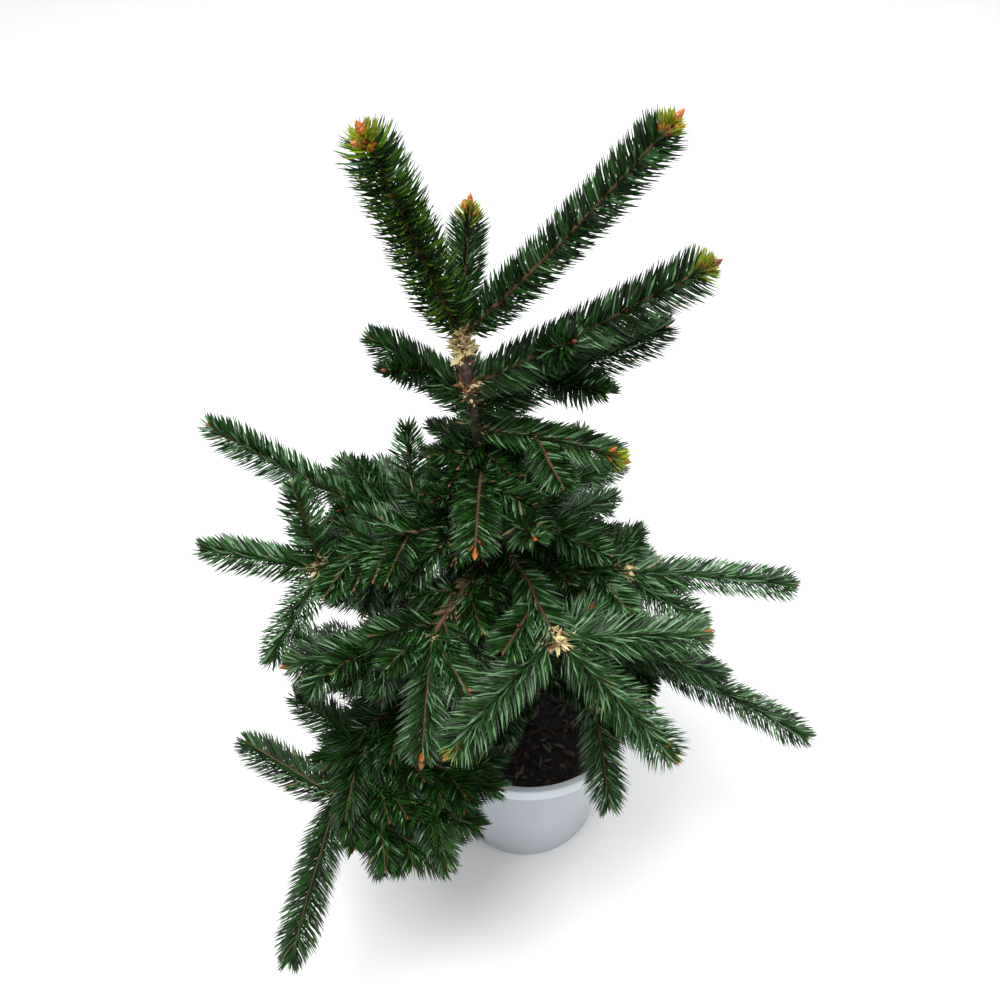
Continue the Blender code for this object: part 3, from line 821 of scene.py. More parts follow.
def dress_shoot(shoot, look, stands, rng):
    """Stands the needles of one shoot in a spiral. On a shoot that lies flat the lower
    ones part to the sides and the upper ones lean forward along it."""
    path = shoot.path
    lengths = [(high - low).length for low, high in zip(path, path[1:])]
    total = sum(lengths)
    rise = abs((path[-1] - path[0]).normalized().z)
    parting = max(0.0, 1.0 - rise / 0.75)
    spacing = look.spacing * (1.25 if shoot.fine else 1.0) / shoot.mass.crowding
    blunt = shoot.mass.buds >= BLUNT_BUDS and not shoot.side
    shortening = BLUNT_SHORTENING if blunt else TIP_SHORTENING
    travelled = max(shoot.bare, SHOOT_BARE * (1.0 if shoot.is_stem or shoot.side else shoot.mass.ruff**1.8))
    turn = rng.uniform(0, 2 * math.pi)
    index, passed = 0, 0.0
    while travelled < total:
        while index < len(lengths) - 1 and travelled > passed + lengths[index]:
            passed += lengths[index]
            index += 1
        part = (travelled - passed) / lengths[index]
        spot = path[index].lerp(path[index + 1], part)
        way = (path[index + 1] - path[index]).normalized()
        along = travelled / total
        from_tip = total - travelled
        nearness = 1.0 if shoot.forks else min(from_tip / shoot.mass.tip, 1.0)
        turn += GOLDEN_TURN + rng.uniform(-0.12, 0.12)
        up = upright(way)
        side = way.cross(up)
        height = math.sin(turn)
        height *= 1 - (0.70 if height < 0 else 0.18) * parting
        width = math.copysign(math.sqrt(1 - height * height), math.cos(turn))
        outward = side * width + up * height
        lean = look.lean + math.radians(rng.uniform(-3.5, 3.5)) + 0.16 * (1 - parting)
        lean -= 0.38 * parting * max(height, 0.0)
        lean *= 1 - (0.12 if blunt else 0.34) * (1 - nearness)
        reach = shoot.needle * look.length * min(0.62 + 2.6 * along, 1.0) * rng.uniform(0.88, 1.03)
        reach *= (1 - shortening * (1 - nearness)) * (1 + 0.06 * parting * (height < 0))
        aim = outward * math.sin(lean) + way * math.cos(lean)
        root = spot + outward * shoot_radius(shoot, along) * 0.8
        kind = needle_kind(shoot, from_tip, rng)
        travelled += spacing * rng.uniform(0.85, 1.15)
        if outward.dot(FRONT) > FRONT_FACING and nearness == 1.0 and rng.random() < shoot.mass.parted:
            continue
        stands[kind].add(root, aim, way * 0.8 + up * 0.7, reach)


def clear_stand(stand):
    """Leaves out the needles that would run into a limb, the pot or its compost."""
    spots = np.array(stand.spots)
    aims = np.array(stand.aims)
    reaches = np.array(stand.reaches)[:, None]
    limb_starts, limb_ends, limb_radii = limb_segments()
    keep = np.ones(len(spots), dtype=bool)
    for part in (0.5, 1.0):
        points = spots + aims * reaches * part
        for low in range(0, len(points), 4000):
            some = slice(low, low + 4000)
            limbs = (distances(points[some], limb_starts, limb_ends) - limb_radii).min(axis=1)
            keep[some] &= (limbs > 0.0004) & ~in_pot(points[some])
    return stand.kept(keep)


def shoot_tip(shoot):
    return shoot.path[-1], (shoot.path[-1] - shoot.path[-2]).normalized()


def bud_stands(shoots, rng):
    """One bud on the end of each shoot, a ring of them behind it on the stronger ones,
    and here and there one along its side."""
    stands = {"buds_orange": Stand(), "buds_red": Stand()}

    def bud(kind, root, aim, way, size):
        stands[kind].add(root, aim, way, size, size * rng.uniform(0.62, 0.78))

    for shoot in shoots:
        if shoot.forks:
            continue
        mass = shoot.mass
        tip, way = shoot_tip(shoot)
        size = min(mass.bud_length, 0.0034 if shoot.fine else 0.0050) if shoot.side else mass.bud_length
        kind = "buds_red" if shoot.side or rng.random() < 0.3 else "buds_orange"
        bud(kind, tip - way * size * 0.15, way, upright(way), size * 1.05)
        across, over, _ = cross_frames([shoot.path[-2], shoot.path[-1]])[0]
        around = 0 if shoot.side else mass.buds - 1
        first = rng.uniform(0, 2 * math.pi)
        for number in range(around):
            turn = first + 2 * math.pi * number / around + rng.uniform(-0.3, 0.3)
            outward = across * math.cos(turn) + over * math.sin(turn)
            root = tip - way * rng.uniform(0.1, 1.1) * size + outward * SHOOT_TIP_RADIUS * 0.9
            aim = (way * rng.uniform(0.5, 1.4) + outward).normalized()
            kind = "buds_red" if rng.random() < 0.35 else "buds_orange"
            bud(kind, root, aim, way, size * rng.uniform(0.72, 1.0))
        if shoot.fine or rng.random() < 0.4:
            continue
        at = rng.uniform(0.35, 0.85)
        outward = (across * rng.uniform(-1, 1) + over * rng.uniform(-0.3, 1)).normalized()
        root = point_along(shoot.path, at) + outward * shoot_radius(shoot, at) * 0.7
        bud("buds_red", root, (outward + way * 0.9).normalized(), way, rng.uniform(0.0038, 0.0052))
    return stands


def scale_stands(shoots, rng):
    """Dry bud scales, rooted in the bark: a ruff of them round each fork and on the feet
    of its shoots, and a few at every other shoot's foot and round each whorl."""
    stands = {"scales_pale": Stand(), "scales_brown": Stand()}
    up = Vector((0, 0, 1))

    def ruff(centre, way, radius, count, size, spread, brown=0.30):
        across, over, _ = cross_frames([centre, centre + way])[0]
        for number in range(count):
            turn = number * GOLDEN_TURN
            outward = across * math.cos(turn) + over * math.sin(turn)
            shift = way * rng.uniform(-0.5, 0.5) * spread
            aim = (outward * rng.uniform(0.5, 1.0) + way * rng.uniform(-0.3, 1.0)).normalized()
            root = centre + outward * radius * rng.uniform(0.7, 1.0) + shift
            kind = "scales_brown" if rng.random() < brown else "scales_pale"
            length = size * rng.uniform(0.55, 1.15)
            stands[kind].add(root, aim, way, length, length * rng.uniform(0.5, 0.9))

    for shoot in shoots:
        big = shoot.mass.ruff
        foot, way = shoot.path[0], (shoot.path[1] - shoot.path[0]).normalized()
        if shoot.forks:
            tip, end_way = shoot_tip(shoot)
            ruff(tip, end_way, STEM_RADIUS * 1.2, round(50 * big), 0.0062 * big**0.5, 0.009 * big, 0.20)
        elif not shoot.side and not shoot.is_stem:
            ruff(foot + way * 0.0045 * big, way, SHOOT_FOOT_RADIUS, round(13 * big**1.7), 0.0056, 0.007 * big)
        elif shoot.side and not shoot.fine:
            ruff(foot + way * 0.003, way, SHOOT_FOOT_RADIUS, 9, 0.0044, 0.004)
        elif shoot.is_stem and shoot.mass.carrier == "trunk":
            clear = trunk_radius(shoot.mass.height) + 0.003
            ruff(foot + way * clear, way, STEM_RADIUS, 26, 0.0054, 0.006, 0.5)
    for height in WHORL_HEIGHTS:
        ruff(trunk_point(height), up, trunk_radius(height), 44, 0.0062, 0.010, 0.5)
    for below, count, size, brown in ((0.001, 70, 0.0090, 0.25), (0.014, 16, 0.0060, 0.90), (0.032, 60, 0.0074, 0.65)):
        ruff(trunk_point(TRUNK_TOP - below), up, TRUNK_TIP_RADIUS, count, size, 0.009, brown)
    return stands


# Meshes


def new_object(name, mesh):
    obj = bpy.data.objects.new(name, mesh)
    bpy.context.scene.collection.objects.link(obj)
    return obj


def mesh_from(name, vertices, faces, edges=(), closed=True):
    """A mesh from its points and faces. The faces of a closed one are turned outwards."""
    mesh = bpy.data.meshes.new(name)
    mesh.from_pydata([tuple(v) for v in vertices], edges, faces)
    if faces and closed:
        work = bmesh.new()
        work.from_mesh(mesh)
        bmesh.ops.recalc_face_normals(work, faces=work.faces)
        work.to_mesh(mesh)
        work.free()
    mesh.update()
    return mesh


def grid_faces(rings, sides, first=0):
    """Four-sided faces between one closed ring of points and the next."""
    faces = []
    for ring in range(rings - 1):
        for side in range(sides):
            low = first + ring * sides + side
            low_next = first + ring * sides + (side + 1) % sides
            faces.append((low, low_next, low_next + sides, low + sides))
    return faces


def turned_mesh(name, profile, steps):
    """A closed solid of revolution. The profile runs from the axis under the piece, out
    and up its outer side, and back to the axis above it."""
    vertices = [Vector((0.0, 0.0, profile[0][1]))]
    for radius, height in profile[1:-1]:
        for step in range(steps):
            turn = 2 * math.pi * step / steps
            vertices.append(Vector((radius * math.cos(turn), radius * math.sin(turn), height)))
    vertices.append(Vector((0.0, 0.0, profile[-1][1])))
    faces = grid_faces(len(profile) - 2, steps, 1)
    last = 1 + (len(profile) - 3) * steps
    for step in range(steps):
        following = (step + 1) % steps
        faces.append((0, 1 + following, 1 + step))
        faces.append((last + step, last + following, len(vertices) - 1))
    return mesh_from(name, vertices, faces)


def rounded_corner(centre, radius, start, end, steps=5):
    """Profile points round a corner, from one angle in degrees to another."""
    points = []
    for step in range(steps + 1):
        turn = math.radians(start + (end - start) * step / steps)
        points.append((centre[0] + radius * math.cos(turn), centre[1] + radius * math.sin(turn)))
    return points


def bar_mesh(name, path, radius_at, sides, relief):
    """A closed round limb, its radius given along its length and its bark by a relief."""
    vertices = []
    last = len(path) - 1
    for index, (point, (across, over, _)) in enumerate(zip(path, cross_frames(path))):
        radius = radius_at(index / last)
        for side in range(sides):
            turn = 2 * math.pi * side / sides
            outward = across * math.cos(turn) + over * math.sin(turn)
            spot = point + outward * radius
            vertices.append(spot + outward * relief(spot, radius))
    faces = grid_faces(len(path), sides)
    faces.append(tuple(reversed(range(sides))))
    faces.append(tuple(range(last * sides, last * sides + sides)))
    return vertices, faces


def needle_mesh():
    """One needle, one unit long and wide: three-sided, with its ridge towards +X, blunt
    at its root, pointed, and curved forward towards +X."""
    rings = ((0.0, 0.42), (0.60, 0.54))
    curve = 1.9
    vertices = []
    for height, half in rings:
        bend = curve * height**2
        vertices += [(bend + half * 0.62, 0.0, height)]
        vertices += [(bend - half * 0.45, half, height), (bend - half * 0.45, -half, height)]
    vertices.append((curve, 0.0, 1.0))
    faces = grid_faces(len(rings), 3)
    faces += [(3, 4, 6), (4, 5, 6), (5, 3, 6), (2, 1, 0)]
    return mesh_from("needle", vertices, faces)


def bud_mesh():
    """One bud, one unit long: a pointed egg whose rings step in like lapping scales."""
    rings = (
        (0.0, 0.16),
        (0.10, 0.29),
        (0.26, 0.31),
        (0.27, 0.36),
        (0.46, 0.31),
        (0.47, 0.35),
        (0.66, 0.24),
        (0.67, 0.27),
        (0.86, 0.11),
    )
    sides = 7
    vertices = []
    for number, (height, radius) in enumerate(rings):
        for side in range(sides):
            turn = 2 * math.pi * side / sides
            bulge = 1 + (0.14 if (side + number) % 2 else -0.06)
            vertices.append((radius * bulge * math.cos(turn), radius * bulge * math.sin(turn), height))
    vertices.append((0.0, 0.0, 1.0))
    faces = grid_faces(len(rings), sides)
    last = (len(rings) - 1) * sides
    for side in range(sides):
        faces.append((last + side, last + (side + 1) % sides, len(vertices) - 1))
    faces.append(tuple(reversed(range(sides))))
    return mesh_from("bud", vertices, faces)


def scale_mesh():
    """One dry bud scale, one unit long: a thin curled blade with two faces."""
    vertices = [(0, -0.16, 0), (0, 0.16, 0), (0.10, 0.30, 0.45), (0.10, -0.30, 0.45), (0.34, 0, 1.0)]
    vertices += [(x - 0.06, y * 0.9, z * 0.98) for x, y, z in vertices]
    front = [(0, 3, 2, 1), (3, 4, 2)]
    back = [(5, 6, 7, 8), (8, 7, 9)]
    rim = [(0, 1, 6, 5), (1, 2, 7, 6), (2, 4, 9, 7), (4, 3, 8, 9), (3, 0, 5, 8)]
    mesh = mesh_from("scale", vertices, front + back + rim)
    return mesh


def chip_mesh():
    """One flake of bark for the compost: a rough flattened lump."""
    work = bmesh.new()
    bmesh.ops.create_icosphere(work, subdivisions=1, radius=0.5)
    for vertex in work.verts:
        jitter = 1 + 0.55 * noise.noise(vertex.co * 3.1 + Vector((5, 2, 7)))
        vertex.co = Vector((vertex.co.x * jitter * 0.75, vertex.co.y * jitter * 0.40, vertex.co.z * jitter + 0.5))
    mesh = bpy.data.meshes.new("chip")
    work.to_mesh(mesh)
    work.free()
    return mesh


# Geometry Nodes


class Tree:
    """A Geometry Nodes group under construction."""

    def __init__(self, name):
        self.group = bpy.data.node_groups.new(name, "GeometryNodeTree")
        self.source = self.group.nodes.new("NodeGroupInput")
        self.sink = self.group.nodes.new("NodeGroupOutput")
        self.group.interface.new_socket("Geometry", in_out="INPUT", socket_type="NodeSocketGeometry")
        self.group.interface.new_socket("Geometry", in_out="OUTPUT", socket_type="NodeSocketGeometry")

    def ask(self, name, kind, default=None):
        """Adds a named input to the group and gives its socket."""
        socket = self.group.interface.new_socket(name, in_out="INPUT", socket_type=f"NodeSocket{kind}")
        if default is not None:
            socket.default_value = default
        return self.source.outputs[name]

    def node(self, kind, settings=None, **values):
        """Adds a node, sets its properties, and links or sets its inputs by name."""
        made = self.group.nodes.new(kind)
        for name, value in (settings or {}).items():
            setattr(made, name, value)
        for name, value in values.items():
            self.join(value, made.inputs[name.replace("_", " ")])
        return made

    def attribute(self, name, data_type):
        """The value that each point carries under a name."""
        return self.node("GeometryNodeInputNamedAttribute", {"data_type": data_type}, Name=name).outputs["Attribute"]

    def join(self, value, socket):
        """Links a value into a socket, or sets the socket to it."""
        if isinstance(value, bpy.types.NodeSocket):
            self.group.links.new(value, socket)
        else:
            socket.default_value = value

    def math(self, operation, first, second):
        """The result of one sum."""
        made = self.node("ShaderNodeMath", {"operation": operation})
        self.join(first, made.inputs[0])
        self.join(second, made.inputs[1])
        return made.outputs[0]

    def random(self, low, high, seed):
        """A random number for each point. The node's number sockets come after its vectors."""
        made = self.node("FunctionNodeRandomValue", {"data_type": "FLOAT"}, Seed=seed)
        self.join(low, made.inputs[2])
        self.join(high, made.inputs[3])
        return made.outputs[1]

    def finish(self, geometry, material):
        """Realizes the instances, gives them their material, and closes the group."""
        real = self.node("GeometryNodeRealizeInstances", Geometry=geometry)
        painted = self.node("GeometryNodeSetMaterial", Geometry=real.outputs["Geometry"], Material=material)
        self.group.links.new(painted.outputs["Geometry"], self.sink.inputs["Geometry"])
        return self.group


def standing_tree():
    """Stands one small piece on every point, turned to the point's aim and face."""
    tree = Tree("stand_pieces")
    piece = tree.ask("Piece", "Object")
    material = tree.ask("Material", "Material")
    width = tree.ask("Width", "Float", 0.001)
    uneven = tree.ask("Unevenness", "Float", 0.1)
    roll = tree.ask("Roll", "Float", 0.5)
    seed = tree.ask("Seed", "Int", 1)
    aim = tree.attribute("aim", "FLOAT_VECTOR")
    face = tree.attribute("face", "FLOAT_VECTOR")
    reach = tree.attribute("reach", "FLOAT")
    girth = tree.attribute("girth", "FLOAT")
    axes = {"primary_axis": "Z", "secondary_axis": "X"}
    turned = tree.node("FunctionNodeAxesToRotation", axes, Primary_Axis=aim, Secondary_Axis=face)
    angle = tree.random(tree.math("MULTIPLY", roll, -1.0), roll, seed)
    spin = tree.node("FunctionNodeAxisAngleToRotation", Axis=(0, 0, 1), Angle=angle)
    rotation = tree.node(
        "FunctionNodeRotateRotation",
        {"rotation_space": "LOCAL"},
        Rotation=turned.outputs["Rotation"],
        Rotate_By=spin.outputs["Rotation"],
    )
    share = tree.random(tree.math("SUBTRACT", 1.0, uneven), tree.math("ADD", 1.0, uneven), seed)
    thick = tree.math("MULTIPLY", tree.math("MULTIPLY", width, girth), share)
    size = tree.node("ShaderNodeCombineXYZ", X=thick, Y=thick, Z=reach)
    shape = tree.node("GeometryNodeObjectInfo", Object=piece)
    stood = tree.node(
        "GeometryNodeInstanceOnPoints",
        Points=tree.source.outputs["Geometry"],
        Instance=shape.outputs["Geometry"],
        Rotation=rotation.outputs["Rotation"],
        Scale=size.outputs["Vector"],
    )
    return tree.finish(stood.outputs["Instances"], material)


def lining_tree():
    """Turns lines with a thickness into closed round twigs."""
    tree = Tree("round_twigs")
    sides = tree.ask("Sides", "Int", 6)
    material = tree.ask("Material", "Material")
    thickness = tree.attribute("thickness", "FLOAT")
    curve = tree.node("GeometryNodeMeshToCurve", Mesh=tree.source.outputs["Geometry"])
    ring = tree.node("GeometryNodeCurvePrimitiveCircle", {"mode": "RADIUS"}, Resolution=sides, Radius=1.0)
    twig = tree.node(
        "GeometryNodeCurveToMesh",
        Curve=curve.outputs["Curve"],
        Profile_Curve=ring.outputs["Curve"],
        Scale=thickness,
        Fill_Caps=True,
    )
    return tree.finish(twig.outputs["Mesh"], material)


def set_inputs(modifier, values):
    """Sets a Geometry Nodes modifier's inputs, each by its socket's identifier."""
    for item in modifier.node_group.interface.items_tree:
        if item.in_out == "INPUT" and item.name in values:
            modifier[item.identifier] = values[item.name]


def grown_mesh(name, carrier, group, values):
    """Runs a node group on a carrier and gives its result as a plain mesh object."""
    source = new_object(name + "_carrier", carrier)
    modifier = source.modifiers.new("grow", "NODES")
    modifier.node_group = group
    set_inputs(modifier, values)
    graph = bpy.context.evaluated_depsgraph_get()
    result = bpy.data.meshes.new_from_object(source.evaluated_get(graph))
    source.modifiers.clear()
    bpy.data.objects.remove(source, do_unlink=True)
    carried = ("aim", "face", "reach", "girth", "thickness")
    for old in [item.name for item in result.attributes if item.name in carried]:
        result.attributes.remove(result.attributes[old])
    result.name = name
    return new_object(name, result)


def stand_mesh(name, stand):
    """Bare points that carry the aim, face and length of each piece as attributes."""
    mesh = mesh_from(name, stand.spots, [])
    for title, values in (("aim", stand.aims), ("face", stand.faces)):
        layer = mesh.attributes.new(title, "FLOAT_VECTOR", "POINT")
        layer.data.foreach_set("vector", np.array(values, dtype=np.float32).ravel())
    for title, values in (("reach", stand.reaches), ("girth", stand.girths)):
        layer = mesh.attributes.new(title, "FLOAT", "POINT")
        layer.data.foreach_set("value", np.array(values, dtype=np.float32))
    return mesh


def stand_pieces(name, stand, shape, finish, width, uneven=0.12, roll=0.5, seed=1):
    """A joined mesh of one small piece stood on every place of a stand."""
    helper = new_object(name + "_shape", shape)
    values = {
        "Piece": helper,
        "Material": finish,
        "Width": width,
        "Unevenness": uneven,
        "Roll": roll,
        "Seed": seed,
    }
    group = bpy.data.node_groups.get("stand_pieces") or standing_tree()
    piece = grown_mesh(name, stand_mesh(name + "_places", stand), group, values)
    bpy.data.objects.remove(helper, do_unlink=True)
    return piece


def line_mesh(name, lines):
    """Separate open lines, each given as its points and the thickness at each of them."""
    vertices, edges, thickness = [], [], []
    for points, radii in lines:
        first = len(vertices)
        vertices += points
        thickness += radii
        edges += [(first + step, first + step + 1) for step in range(len(points) - 1)]
    mesh = mesh_from(name, vertices, [], edges)
    layer = mesh.attributes.new("thickness", "FLOAT", "POINT")
    layer.data.foreach_set("value", np.array(thickness, dtype=np.float32))
    return mesh


def line_pieces(name, lines, finish, sides):
    group = bpy.data.node_groups.get("round_twigs") or lining_tree()
    return grown_mesh(name, line_mesh(name + "_lines", lines), group, {"Sides": sides, "Material": finish})


# Materials


def tone(red, green, blue):
    """A colour given as it looks on a screen, from 0 to 255, as the shader wants it."""
    return tuple((part / 255) ** 2.2 for part in (red, green, blue)) + (1.0,)


class Finish:
    """A material under construction, with its patterns in Object coordinates."""

    def __init__(self, name, roughness):
        self.material = bpy.data.materials.new(name)
        self.material.use_nodes = True
        self.nodes = self.material.node_tree.nodes
        self.links = self.material.node_tree.links
        self.shader = self.nodes["Principled BSDF"]
        self.shader.inputs["Roughness"].default_value = roughness
        self.shader.inputs["Metallic"].default_value = 0.0
        self.place = self.nodes.new("ShaderNodeTexCoord").outputs["Object"]

    def set(self, **values):
        for name, value in values.items():
            self.shader.inputs[name.replace("_", " ")].default_value = value

    def stretched(self, scale):
        mapping = self.nodes.new("ShaderNodeMapping")
        mapping.inputs["Scale"].default_value = scale
        self.links.new(self.place, mapping.inputs["Vector"])
        return mapping.outputs["Vector"]

    def noise(self, scale, detail=4.0, roughness=0.6, stretch=(1, 1, 1)):
        texture = self.nodes.new("ShaderNodeTexNoise")
        texture.inputs["Scale"].default_value = scale
        texture.inputs["Detail"].default_value = detail
        texture.inputs["Roughness"].default_value = roughness
        self.links.new(self.stretched(stretch), texture.inputs["Vector"])
        return texture.outputs["Fac"]

    def height_ramp(self, low, high, *stops):
        """Colours by height between two levels, each stop a share of the way up."""
        parts = self.nodes.new("ShaderNodeSeparateXYZ")
        self.links.new(self.place, parts.inputs["Vector"])
        spread = self.nodes.new("ShaderNodeMapRange")
        spread.inputs["From Min"].default_value = low
        spread.inputs["From Max"].default_value = high
        self.links.new(parts.outputs["Z"], spread.inputs["Value"])
        return self.ramp(spread.outputs["Result"], *stops)

    def cells(self, scale, stretch=(1, 1, 1), feature="F1"):
        texture = self.nodes.new("ShaderNodeTexVoronoi")
        texture.feature = feature
        texture.inputs["Scale"].default_value = scale
        self.links.new(self.stretched(stretch), texture.inputs["Vector"])
        return texture.outputs["Distance"]

    def ramp(self, source, *stops):
        """Maps a pattern to colours, each stop a place from 0 to 1 and a colour."""
        ramp = self.nodes.new("ShaderNodeValToRGB")
        elements = ramp.color_ramp.elements
        while len(elements) < len(stops):
            elements.new(0.5)
        for element, (place, colour) in zip(elements, stops):
            element.position = place
            element.color = colour
        self.links.new(source, ramp.inputs["Fac"])
        return ramp.outputs["Color"]

    def blend(self, share, first, second, way="MIX"):
        mix = self.nodes.new("ShaderNodeMix")
        mix.data_type = "RGBA"
        mix.blend_type = way
        for value, socket in ((share, mix.inputs[0]), (first, mix.inputs[6]), (second, mix.inputs[7])):
            if isinstance(value, bpy.types.NodeSocket):
                self.links.new(value, socket)
            else:
                socket.default_value = value
        return mix.outputs[2]

    def paint(self, colour):
        self.links.new(colour, self.shader.inputs["Base Color"])

    def roughen(self, source, low, high):
        spread = self.nodes.new("ShaderNodeMapRange")
        spread.inputs["To Min"].default_value = low
        spread.inputs["To Max"].default_value = high
        self.links.new(source, spread.inputs["Value"])
        self.links.new(spread.outputs["Result"], self.shader.inputs["Roughness"])

    def bump(self, source, strength, depth):
        bump = self.nodes.new("ShaderNodeBump")
        bump.inputs["Strength"].default_value = strength
        bump.inputs["Distance"].default_value = depth
        self.links.new(source, bump.inputs["Height"])
        self.links.new(bump.outputs["Normal"], self.shader.inputs["Normal"])


def shaded(colour, factor):
    return (colour[0] * factor, colour[1] * factor, colour[2] * factor, 1.0)


def needle_finish(name, colour):
    """A waxy green whose depth changes a little from place to place."""
    finish = Finish(name, 0.42)
    patches = finish.noise(90.0, 3.0)
    finish.paint(finish.ramp(patches, (0.30, shaded(colour, 0.62)), (0.70, shaded(colour, 1.35))))
    finish.set(Specular_IOR_Level=0.36)
    return finish.material


def bark_finish(name, deep, ridge, worn):
    """Flaky bark: dark in its cracks, brown on its plates and grey where it is worn."""
    finish = Finish(name, 0.86)
    plates = finish.cells(420.0, (1, 1, 0.35))
    grain = finish.noise(900.0, 5.0, 0.7, (1, 1, 0.5))
    wear = finish.noise(120.0, 3.0)
    body = finish.ramp(plates, (0.10, ridge), (0.75, deep))
    greyed = finish.blend(finish.ramp(wear, (0.48, (0, 0, 0, 1)), (0.70, (1, 1, 1, 1))), body, worn)
    finish.paint(finish.blend(0.35, greyed, finish.ramp(grain, (0.3, deep), (0.8, ridge)), "MIX"))
    finish.bump(grain, 0.6, 0.0004)
    return finish.material


def twig_finish(colour):
    finish = Finish("twig_bark", 0.70)
    grain = finish.noise(650.0, 4.0, 0.65, (1, 1, 0.6))
    patches = finish.noise(45.0, 2.0)
    body = finish.ramp(patches, (0.30, shaded(colour, 0.6)), (0.72, shaded(colour, 1.5)))
    finish.paint(finish.blend(0.45, body, finish.ramp(grain, (0.35, shaded(colour, 0.35)), (0.7, shaded(colour, 1.6)))))
    finish.bump(grain, 0.5, 0.0003)
    return finish.material


def bud_finish(name, colour, tip):
    """Resinous bud scales, paler along their edges."""
    finish = Finish(name, 0.42)
    flecks = finish.noise(800.0, 3.0)
    patches = finish.noise(160.0, 2.0)
    body = finish.ramp(patches, (0.35, shaded(colour, 0.75)), (0.68, tip))
    finish.paint(finish.blend(0.35, body, finish.ramp(flecks, (0.4, shaded(colour, 0.5)), (0.65, tip))))
    finish.bump(flecks, 0.3, 0.0002)
    finish.set(Coat_Weight=0.08, Coat_Roughness=0.4)
    return finish.material


def scale_finish(name, colour):
    """Papery dry scales, darker in patches."""
    finish = Finish(name, 0.75)
    flecks = finish.noise(500.0, 3.0)
    finish.paint(finish.ramp(flecks, (0.30, shaded(colour, 0.55)), (0.56, colour), (0.8, shaded(colour, 1.15))))
    return finish.material


def pot_finish(colour):
    """Pale recycled plastic: fine grain, a few dark specks, dull scuffs and a soft sheen, with painted shade
    that darkens the wall below the rim, and a darker painted shadow just under the rim."""
    finish = Finish("pot_plastic", 0.42)
    clouds = finish.noise(22.0, 3.0)
    specks = finish.cells(520.0)
    scuffs = finish.noise(60.0, 5.0, 0.7, (1, 1, 6))
    grain = finish.noise(1500.0, 2.0)
    body = finish.ramp(clouds, (0.30, shaded(colour, 0.94)), (0.70, shaded(colour, 1.04)))
    band_foot = POT_HEIGHT - RIM_DEPTH
    # Painted shade: the wall is darkened to about three quarters of the rim's brightness, and a painted shadow about a
    # third as bright lies in a band some 10 mm tall just under the rim's overhang; the rim above it stays unshaded.
    unshaded, painted_shadow = (1.0, 1.0, 1.0, 1.0), (0.34, 0.34, 0.33, 1.0)
    wall = finish.height_ramp(0.0, POT_HEIGHT, (0.0, (0.72, 0.72, 0.73, 1.0)),
        ((band_foot - 0.0115) / POT_HEIGHT, (0.74, 0.74, 0.75, 1.0)),
        ((band_foot - 0.0095) / POT_HEIGHT, painted_shadow), ((band_foot + 0.0004) / POT_HEIGHT, painted_shadow),
        ((band_foot + 0.0012) / POT_HEIGHT, unshaded))
    body = finish.blend(1.0, body, wall, "MULTIPLY")
    speck_mask = finish.ramp(specks, (0.035, (1, 1, 1, 1)), (0.06, (0, 0, 0, 1)))
    speckled = finish.blend(speck_mask, body, tone(120, 116, 108))
    finish.paint(finish.blend(finish.ramp(scuffs, (0.60, (0, 0, 0, 1)), (0.78, (0.5, 0.5, 0.5, 1))), speckled, tone(176, 176, 172)))
    finish.roughen(scuffs, 0.32, 0.62)
    finish.bump(grain, 0.12, 0.0002)
    return finish.material


def compost_finish(colour):
    finish = Finish("moist_compost", 0.92)
    crumbs = finish.noise(420.0, 6.0, 0.72)
    fibres = finish.cells(260.0, (1, 0.4, 1))
    body = finish.ramp(crumbs, (0.28, shaded(colour, 0.35)), (0.55, colour), (0.80, tone(50, 37, 30)))
    finish.paint(finish.blend(0.4, body, finish.ramp(fibres, (0.05, tone(58, 44, 36)), (0.35, shaded(colour, 0.5)))))
    finish.bump(crumbs, 0.9, 0.0012)
    return finish.material


def chip_finish(name, colour):
    finish = Finish(name, 0.85)
    grain = finish.noise(380.0, 4.0, 0.65, (1, 3, 1))
    finish.paint(finish.ramp(grain, (0.30, shaded(colour, 0.45)), (0.60, colour), (0.82, shaded(colour, 1.7))))
    finish.bump(grain, 0.6, 0.0006)
    return finish.material


# Settings


class PotSettings(bpy.types.PropertyGroup):
    """Sizes and colour of the pot."""

    rim_rounding: FloatProperty(
        name="Rim rounding", description="Radius of the rolled edge of the rim", default=0.0016, unit="LENGTH"
    )
    colour: FloatVectorProperty(
        name="Colour", description="Plastic of the pot", default=tone(200, 208, 213), size=4, subtype="COLOR"
    )


class CompostSettings(bpy.types.PropertyGroup):
    """The fill of the pot and what lies on it."""

    roughness: FloatProperty(
        name="Roughness", description="Height of the crumbs on top of the compost", default=0.0026, unit="LENGTH"
    )
    chips: IntProperty(name="Chips", description="Flakes of bark on the compost", default=760)
    rootlets: IntProperty(name="Rootlets", description="Pale fibres on the compost", default=34)
    colour: FloatVectorProperty(
        name="Colour", description="Moist compost", default=tone(28, 21, 18), size=4, subtype="COLOR"
    )


class BarkSettings(bpy.types.PropertyGroup):
    """Relief and colours of trunk and boughs."""

    relief: FloatProperty(
        name="Relief", description="Height of the bark's flakes on the trunk", default=0.0008, unit="LENGTH"
    )
    colour: FloatVectorProperty(
        name="Colour", description="Plates of the bark", default=tone(84, 64, 49), size=4, subtype="COLOR"
    )
    twig_colour: FloatVectorProperty(
        name="Twig colour", description="Bark of shoots and twigs", default=tone(82, 57, 36), size=4, subtype="COLOR"
    )


